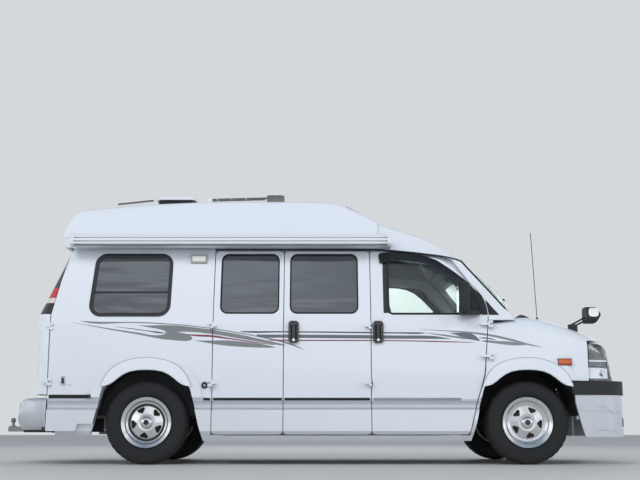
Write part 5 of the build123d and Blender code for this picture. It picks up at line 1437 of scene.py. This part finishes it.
def roof_profile(shoulder):
    """Half of the outer section, from the foot of the side up to the middle."""
    radius = min(shoulder_radius, (shoulder - roof_foot) * 0.45)
    low = (roof_side(shoulder - radius), shoulder - radius)
    corner = (roof_side(shoulder), shoulder)
    high = (roof_side(shoulder) - radius, shoulder + 1.0)
    half = [(roof_side(roof_foot), roof_foot)]
    for share in (0.33, 0.66):
        z = roof_foot + (shoulder - radius - roof_foot) * share
        half.append((roof_side(z), z))
    # a quadratic curve from the side over the corner to the top
    for step in range(6):
        t = step / 5
        half.append(tuple(a * (1 - t) ** 2 + 2 * b * t * (1 - t) + c * t ** 2
                          for a, b, c in zip(low, corner, high)))
    for share in (0.8, 0.6, 0.4, 0.2, 0.0):
        y = high[0] * share
        half.append((y, shoulder + crown * (1 - share ** 2)))
    return half


rings = []
for x, shoulder in shoulder_rows:
    half = roof_profile(shoulder)
    outer = half + [(-y, z) for y, z in reversed(half[:-1])]
    inner = []
    for y, z in reversed(outer):
        away = math.hypot(y, z - roof_foot)
        inner.append((y - shell * y / away, z - shell * max(0.0, z - roof_foot) / away))
    rings.append([Vector((x, y, z)) * MM for y, z in outer + inner])
piece("roof_skin", *skin_rings(rings, True, False), "van", gelcoat)
print(len(rings), "roof stations")

# %% Roof light
light_rows = []
for x in evenly(372, 592, 22):
    row = []
    for y in evenly(-585, 585, 65):
        row.append((x, y, roof_top(x, y) + 4.0))
    light_rows.append(row)
light_front = [[Vector((x, y, z + 14.0)) * MM for x, y, z in row] for row in light_rows]
light_back = [[Vector((x, y, z - 6.0)) * MM for x, y, z in row] for row in light_rows]
grid_slab("roof_light", light_front, light_back, "van", privacy_glass)
print(len(light_rows), "rows in the roof light")

# %% [markdown]
# ## Things on the roof
# A low vent lid on a dark seal, a luggage rail of two bars on four feet behind it, and a folded
# television aerial ahead of it. The rail's feet end on the roof skin, so their lower ends come
# from the function that gives its height.

# %% Vent, rail and aerial
roof_limit = 2546.0


def rounded_slab(name, x0, x1, y0, y1, low, high, edge, body, material):
    """A block with a rounded plan and a softened top."""
    middle_x = (x0 + x1) / 2
    middle_y = (y0 + y1) / 2
    half_x = (x1 - x0) / 2
    half_y = (y1 - y0) / 2
    levels = [(low, 0.0), (high - edge, 0.0), (high - edge * 0.3, edge * 0.3), (high, edge)]
    rings = [squircle(middle_x, middle_y, z, half_x - d, half_y - d, 7.0, 48) for z, d in levels]
    return piece(name, *skin_rings(rings, True, False), body, material)


def bar(name, start, end, radius, material):
    """A round bar between two points, in millimetres."""
    line = [Vector(start) * MM, (Vector(start) + Vector(end)) * (MM / 2), Vector(end) * MM]
    return sweep(name, line, [Vector((0, 0, 1))] * 3, ring_section(radius), "van", material)


vent_base = rounded_slab("vent_base", -1462, -1104, -572, -200, 2440, 2506, 4, "van", window_rubber)
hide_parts("roof_fittings")
rounded_slab("vent_lid", -1477, -1088, -586, -186, 2508, 2541, 12, "van", white_abs)
for number, y in enumerate((-560, -330)):
    bar(f"rail_{number}", (-1850, y, 2466), (-1505, y, 2504), 9, aluminised)
    for foot, x in enumerate((-1820, -1540)):
        # the rail climbs 38 mm over its length of 345 mm
        top = 2466 + (x + 1850) * 38 / 345
        bar(f"rail_foot_{number}_{foot}", (x, y, roof_top(x, y) - 4), (x, y, top), 8, window_rubber)
# columns: name, both ends, radius, finish
aerial_parts = [
    ("mast", (-985, -540, 2518), (-330, -540, 2534), 9, aluminised),
    ("arm", (-960, -500, 2514), (-420, -500, 2528), 7, aluminised),
    ("whip_a", (-880, -610, 2510), (-880, -330, 2526), 4, chrome),
    ("whip_b", (-740, -620, 2514), (-740, -300, 2530), 4, chrome),
    ("whip_c", (-600, -600, 2518), (-600, -340, 2532), 4, chrome),
]
for name, start, end, radius, material in aerial_parts:
    bar("aerial_" + name, start, end, radius, material)
rounded_slab("aerial_head", -400, -226, -622, -420, 2470, roof_limit, 10, "van", aluminised)
rounded_slab("aerial_foot", -990, -930, -575, -470, 2460, 2526, 6, "van", white_abs)
print("roof fittings placed")

# %% [markdown]
# ## Tail details
# The rear doors close on a central seal, and the right-hand one carries the handle. Above them a
# painted header, folded from sheet, closes the tail up to the moulded roof. Its upper part leans
# forward, and its foot runs down behind the doors' glass.

# %% Rear handle and seal
tail_rows = {
    "rear_handle_plate": ([(y, 1180) for y in evenly(-190, -60, 22)], (74, -2, 3, 2.0), black_pp),
    "rear_handle_grip": ([(y, 1188) for y in evenly(-180, -70, 22)], (34, 2, 16, 9.0), gloss_black),
    "rear_seal": ([(-14, z) for z in evenly(650, 1330, 40)], (12, -2, 4, 2.0), window_rubber),
}
for name, (rows, section, material) in tail_rows.items():
    line, normals = on_end("rear_door_right", -1, rows)
    sweep(name, line, normals, rounded_section(*section), "rear_door_right", material)

# %% Tail header
# columns: x and z of the header's outer face, from the foot behind the glass to the roof
header_rows = [(-2200, 1784), (-2206, 1820), (-2212, 1894), (-2219, 1898), (-2200, 1990), (-2196, 2004)]
header_thick = 4
outline = header_rows + [(x + header_thick, z) for x, z in reversed(header_rows)]
rings = [[Vector((x, y, z)) * MM for x, z in outline] for y in evenly(-640, 640, 160)]
piece("tail_header", *skin_rings(rings, True, False), "van", enamel_plain)
print("tail trimmed")

# %% [markdown]
# ## Corner mirror
# A small mirror stands on the right-hand front corner. The frame holds its head and stem, and a
# thin plate of silvered glass closes the outer face.

# %% Corner mirror glass
corner_outline = soft_outline(46, 40, 0.6, 36)
rings = [[Vector((2628 + a, y, 1366 + b)) * MM for a, b in corner_outline] for y in (-941.5, -945.0)]
piece("corner_mirror_glass", *skin_rings(rings, True, False), "van", mirror_glass)
print(len(corner_outline), "points round the corner mirror's glass")

# %% [markdown]
# ## Front seats
# Each seat has a cushion, a back rest and a head rest in woven cloth over foam. Foam swells
# inside its cover, so the covers are simulated as cloth with air pressure inside them, and no
# point may swell more than 12 mm off its pattern. Then two sewn channels are pressed 9 mm into
# the cushion and the back rest.

# %% Stuffed cover
swell_limit = 12.0 * MM
corner_power = 7.0
channel_depth = 9.0
channel_width = 9.0


def cover(name, size, press, channels):
    """A stuffed cover about its own centre; channels are offsets across its width, in millimetres."""
    shape = bmesh.new()
    bmesh.ops.create_cube(shape, size=2.0)
    bmesh.ops.subdivide_edges(shape, edges=shape.edges, cuts=15, use_grid_fill=True)
    for vertex in shape.verts:
        spot = vertex.co
        spot /= sum(abs(value) ** corner_power for value in spot) ** (1 / corner_power)
        vertex.co = Vector((spot.x * size[0], spot.y * size[1], spot.z * size[2])) * (MM / 2)
    mesh = bpy.data.meshes.new(name)
    shape.to_mesh(mesh)
    shape.free()
    made = new_object(name, mesh)
    pattern = [vertex.co.copy() for vertex in mesh.vertices]
    cloth = made.modifiers.new("Cloth", "CLOTH")
    cloth.settings.use_pressure = True
    cloth.settings.uniform_pressure_force = press
    cloth.settings.effector_weights.gravity = 0.0
    for step in range(1, 21):
        bpy.context.scene.frame_set(step)
    swollen = made.evaluated_get(bpy.context.evaluated_depsgraph_get()).data
    moves = [vertex.co - pattern[i] for i, vertex in enumerate(swollen.vertices)]
    made.modifiers.remove(cloth)
    bpy.context.scene.frame_set(1)
    for vertex, move in zip(mesh.vertices, moves):
        if move.length > swell_limit:
            move = move * (swell_limit / move.length)
        vertex.co = vertex.co + move
    for vertex in mesh.vertices:
        for channel in channels:
            near = math.exp(-((vertex.co.y / MM - channel) / channel_width) ** 2)
            inward = channel_depth * MM * near
            # only points on the two broad faces move
            vertex.co.z -= math.copysign(inward, vertex.co.z) * (abs(vertex.co.z) > size[2] * MM * 0.3)
    mesh.shade_smooth()
    mesh.materials.append(seat_cloth)
    smooth = made.modifiers.new("Subdivision", "SUBSURF")
    smooth.levels = 1
    smooth.render_levels = 1
    return made


# %% Seats
seat_x = 835.5
seat_y = 440.0
# columns: name, length, width, thickness, middle x and z, lean in degrees, channels
pads = [
    ("cushion", 486, 486, 118, seat_x + 215, 994, 1.7, (-120, 120)),
    ("rest", 660, 466, 112, seat_x - 88, 1336, -75.2, (-115, 115)),
    ("pillow", 168, 236, 96, seat_x - 200, 1768, -73.2, ()),
]
for name, length, width, thick, x, z, lean, channels in pads:
    pattern = cover("seat_" + name + "_right", (length, width, thick), 3.0, channels)
    for word, side in sides.items():
        made = pattern
        if word == "left":
            made = pattern.copy()
            made.name = "seat_" + name + "_left"
            bpy.context.scene.collection.objects.link(made)
        made.location = Vector((x, side * seat_y, z)) * MM
        made.rotation_euler = (0.0, math.radians(-lean), 0.0)
        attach(made, "van")
        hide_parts("front_seats")
# columns: height, half length and half width of the plinth
plinth_rows = [(666, 215, 200), (680, 210, 195), (690, 190, 180), (880, 190, 180), (932, 215, 205)]
for word, side in sides.items():
    rings = [squircle(seat_x + 180, side * seat_y, z, hx, hy, 6.0) for z, hx, hy in plinth_rows]
    piece(f"seat_plinth_{word}", *skin_rings(rings, True, False), "van", black_pp)
    rings = [squircle(seat_x - 172, side * seat_y, z, 9, 92, 6.0) for z in (1660, 1700)]
    piece(f"seat_stalk_{word}", *skin_rings(rings, True, False), "van", chrome)
print(len(pads), "covers for each seat")

# %% [markdown]
# ## Living space
# Seen through dark glass, the furniture needs only the right colours. The frame holds it as plain
# blocks. Their upward faces take cloth on the bench at the rear and white board further forward.

# %% Living space
bench_end = -1.2
second_finish("furniture", seat_cloth, lambda c, n: c.x < bench_end and n.z > 0.9)
second_finish("furniture", white_abs, lambda c, n: c.x > bench_end and n.z > 0.9)

# %% [markdown]
# ## Floor and light
# A pale floor and a pale sky with soft clouds give light all round, as on an overcast day. Three
# large lamps model the panels: the strongest above the camera's side, a weaker one ahead of the
# van, and one beyond it that picks out the roof's edge.

# %% Floor
floor_reach = 60.0
floor_corners = [(a * floor_reach, b * floor_reach, 0) for a, b in ((-1, -1), (1, -1), (1, 1), (-1, 1))]
floor_mesh = mesh_from("floor", floor_corners, [(0, 1, 2, 3)])
floor = new_object("floor", floor_mesh)
pale_floor = finish("concrete_painted_pale", "#C9C8C4", 0.7, grain=200.0, relief=0.2, spread=0.03)
floor_mesh.materials.append(pale_floor)

# %% Sky and lamps
world = bpy.data.worlds.new("soft_sky")
bpy.context.scene.world = world
world.use_nodes = True
sky_tree = world.node_tree
sky = sky_tree.nodes["Background"]
sky_place = add_node(sky_tree, "TexCoord").outputs["Generated"]
sky_height = add_node(sky_tree, "SeparateXYZ", {0: sky_place}).outputs["Z"]
sky_share = add_node(sky_tree, "MapRange", {0: sky_height, 1: 0.40, 2: 0.62}).outputs[0]
sky_colour = add_node(sky_tree, "Mix", {0: sky_share, 6: linear("#E6E9EE"), 7: linear("#7F8C9B")},
                      data_type="RGBA").outputs[2]
# long flat clouds, which glass and polished metal pick up as streaks
cloud_place = add_node(sky_tree, "Mapping", {"Vector": sky_place, "Scale": (1.0, 1.0, 5.0)}).outputs[0]
clouds = add_node(sky_tree, "TexNoise", {"Vector": cloud_place, "Scale": 2.2, "Detail": 1.5}).outputs["Fac"]
cloud_light = add_node(sky_tree, "MapRange", {0: clouds, 1: 0.38, 2: 0.62, 3: 0.6, 4: 1.7}).outputs[0]
seen = add_node(sky_tree, "LightPath").outputs["Is Camera Ray"]
level = add_node(sky_tree, "Mix", {0: seen, 2: cloud_light, 3: 1.0}).outputs[0]
shown = add_node(sky_tree, "Mix", {0: seen, 6: sky_colour, 7: linear("#D5D8DB")}, data_type="RGBA").outputs[2]
sky_tree.links.new(shown, sky.inputs["Color"])
sky_tree.links.new(level, sky.inputs["Strength"])


def soft_lamp(name, place, target, width, power):
    data = bpy.data.lights.new(name, "AREA")
    data.shape = "RECTANGLE"
    data.size = width
    data.size_y = width * 0.5
    data.energy = power
    lamp = new_object(name, data)
    lamp.location = place
    lamp.rotation_mode = "QUATERNION"
    lamp.rotation_quaternion = (Vector(target) - Vector(place)).to_track_quat("-Z", "Y")
    lamp.visible_glossy = False
    return lamp


soft_lamp("key", (-3.0, -9.0, 7.5), (0.0, 0.0, 1.0), 8.0, 450)
soft_lamp("fill", (7.5, -6.0, 4.5), (0.5, 0.0, 1.0), 5.0, 150)
soft_lamp("rim", (0.0, 8.0, 7.0), (0.0, 0.0, 1.5), 8.0, 260)
print("lit by a sky and three lamps")
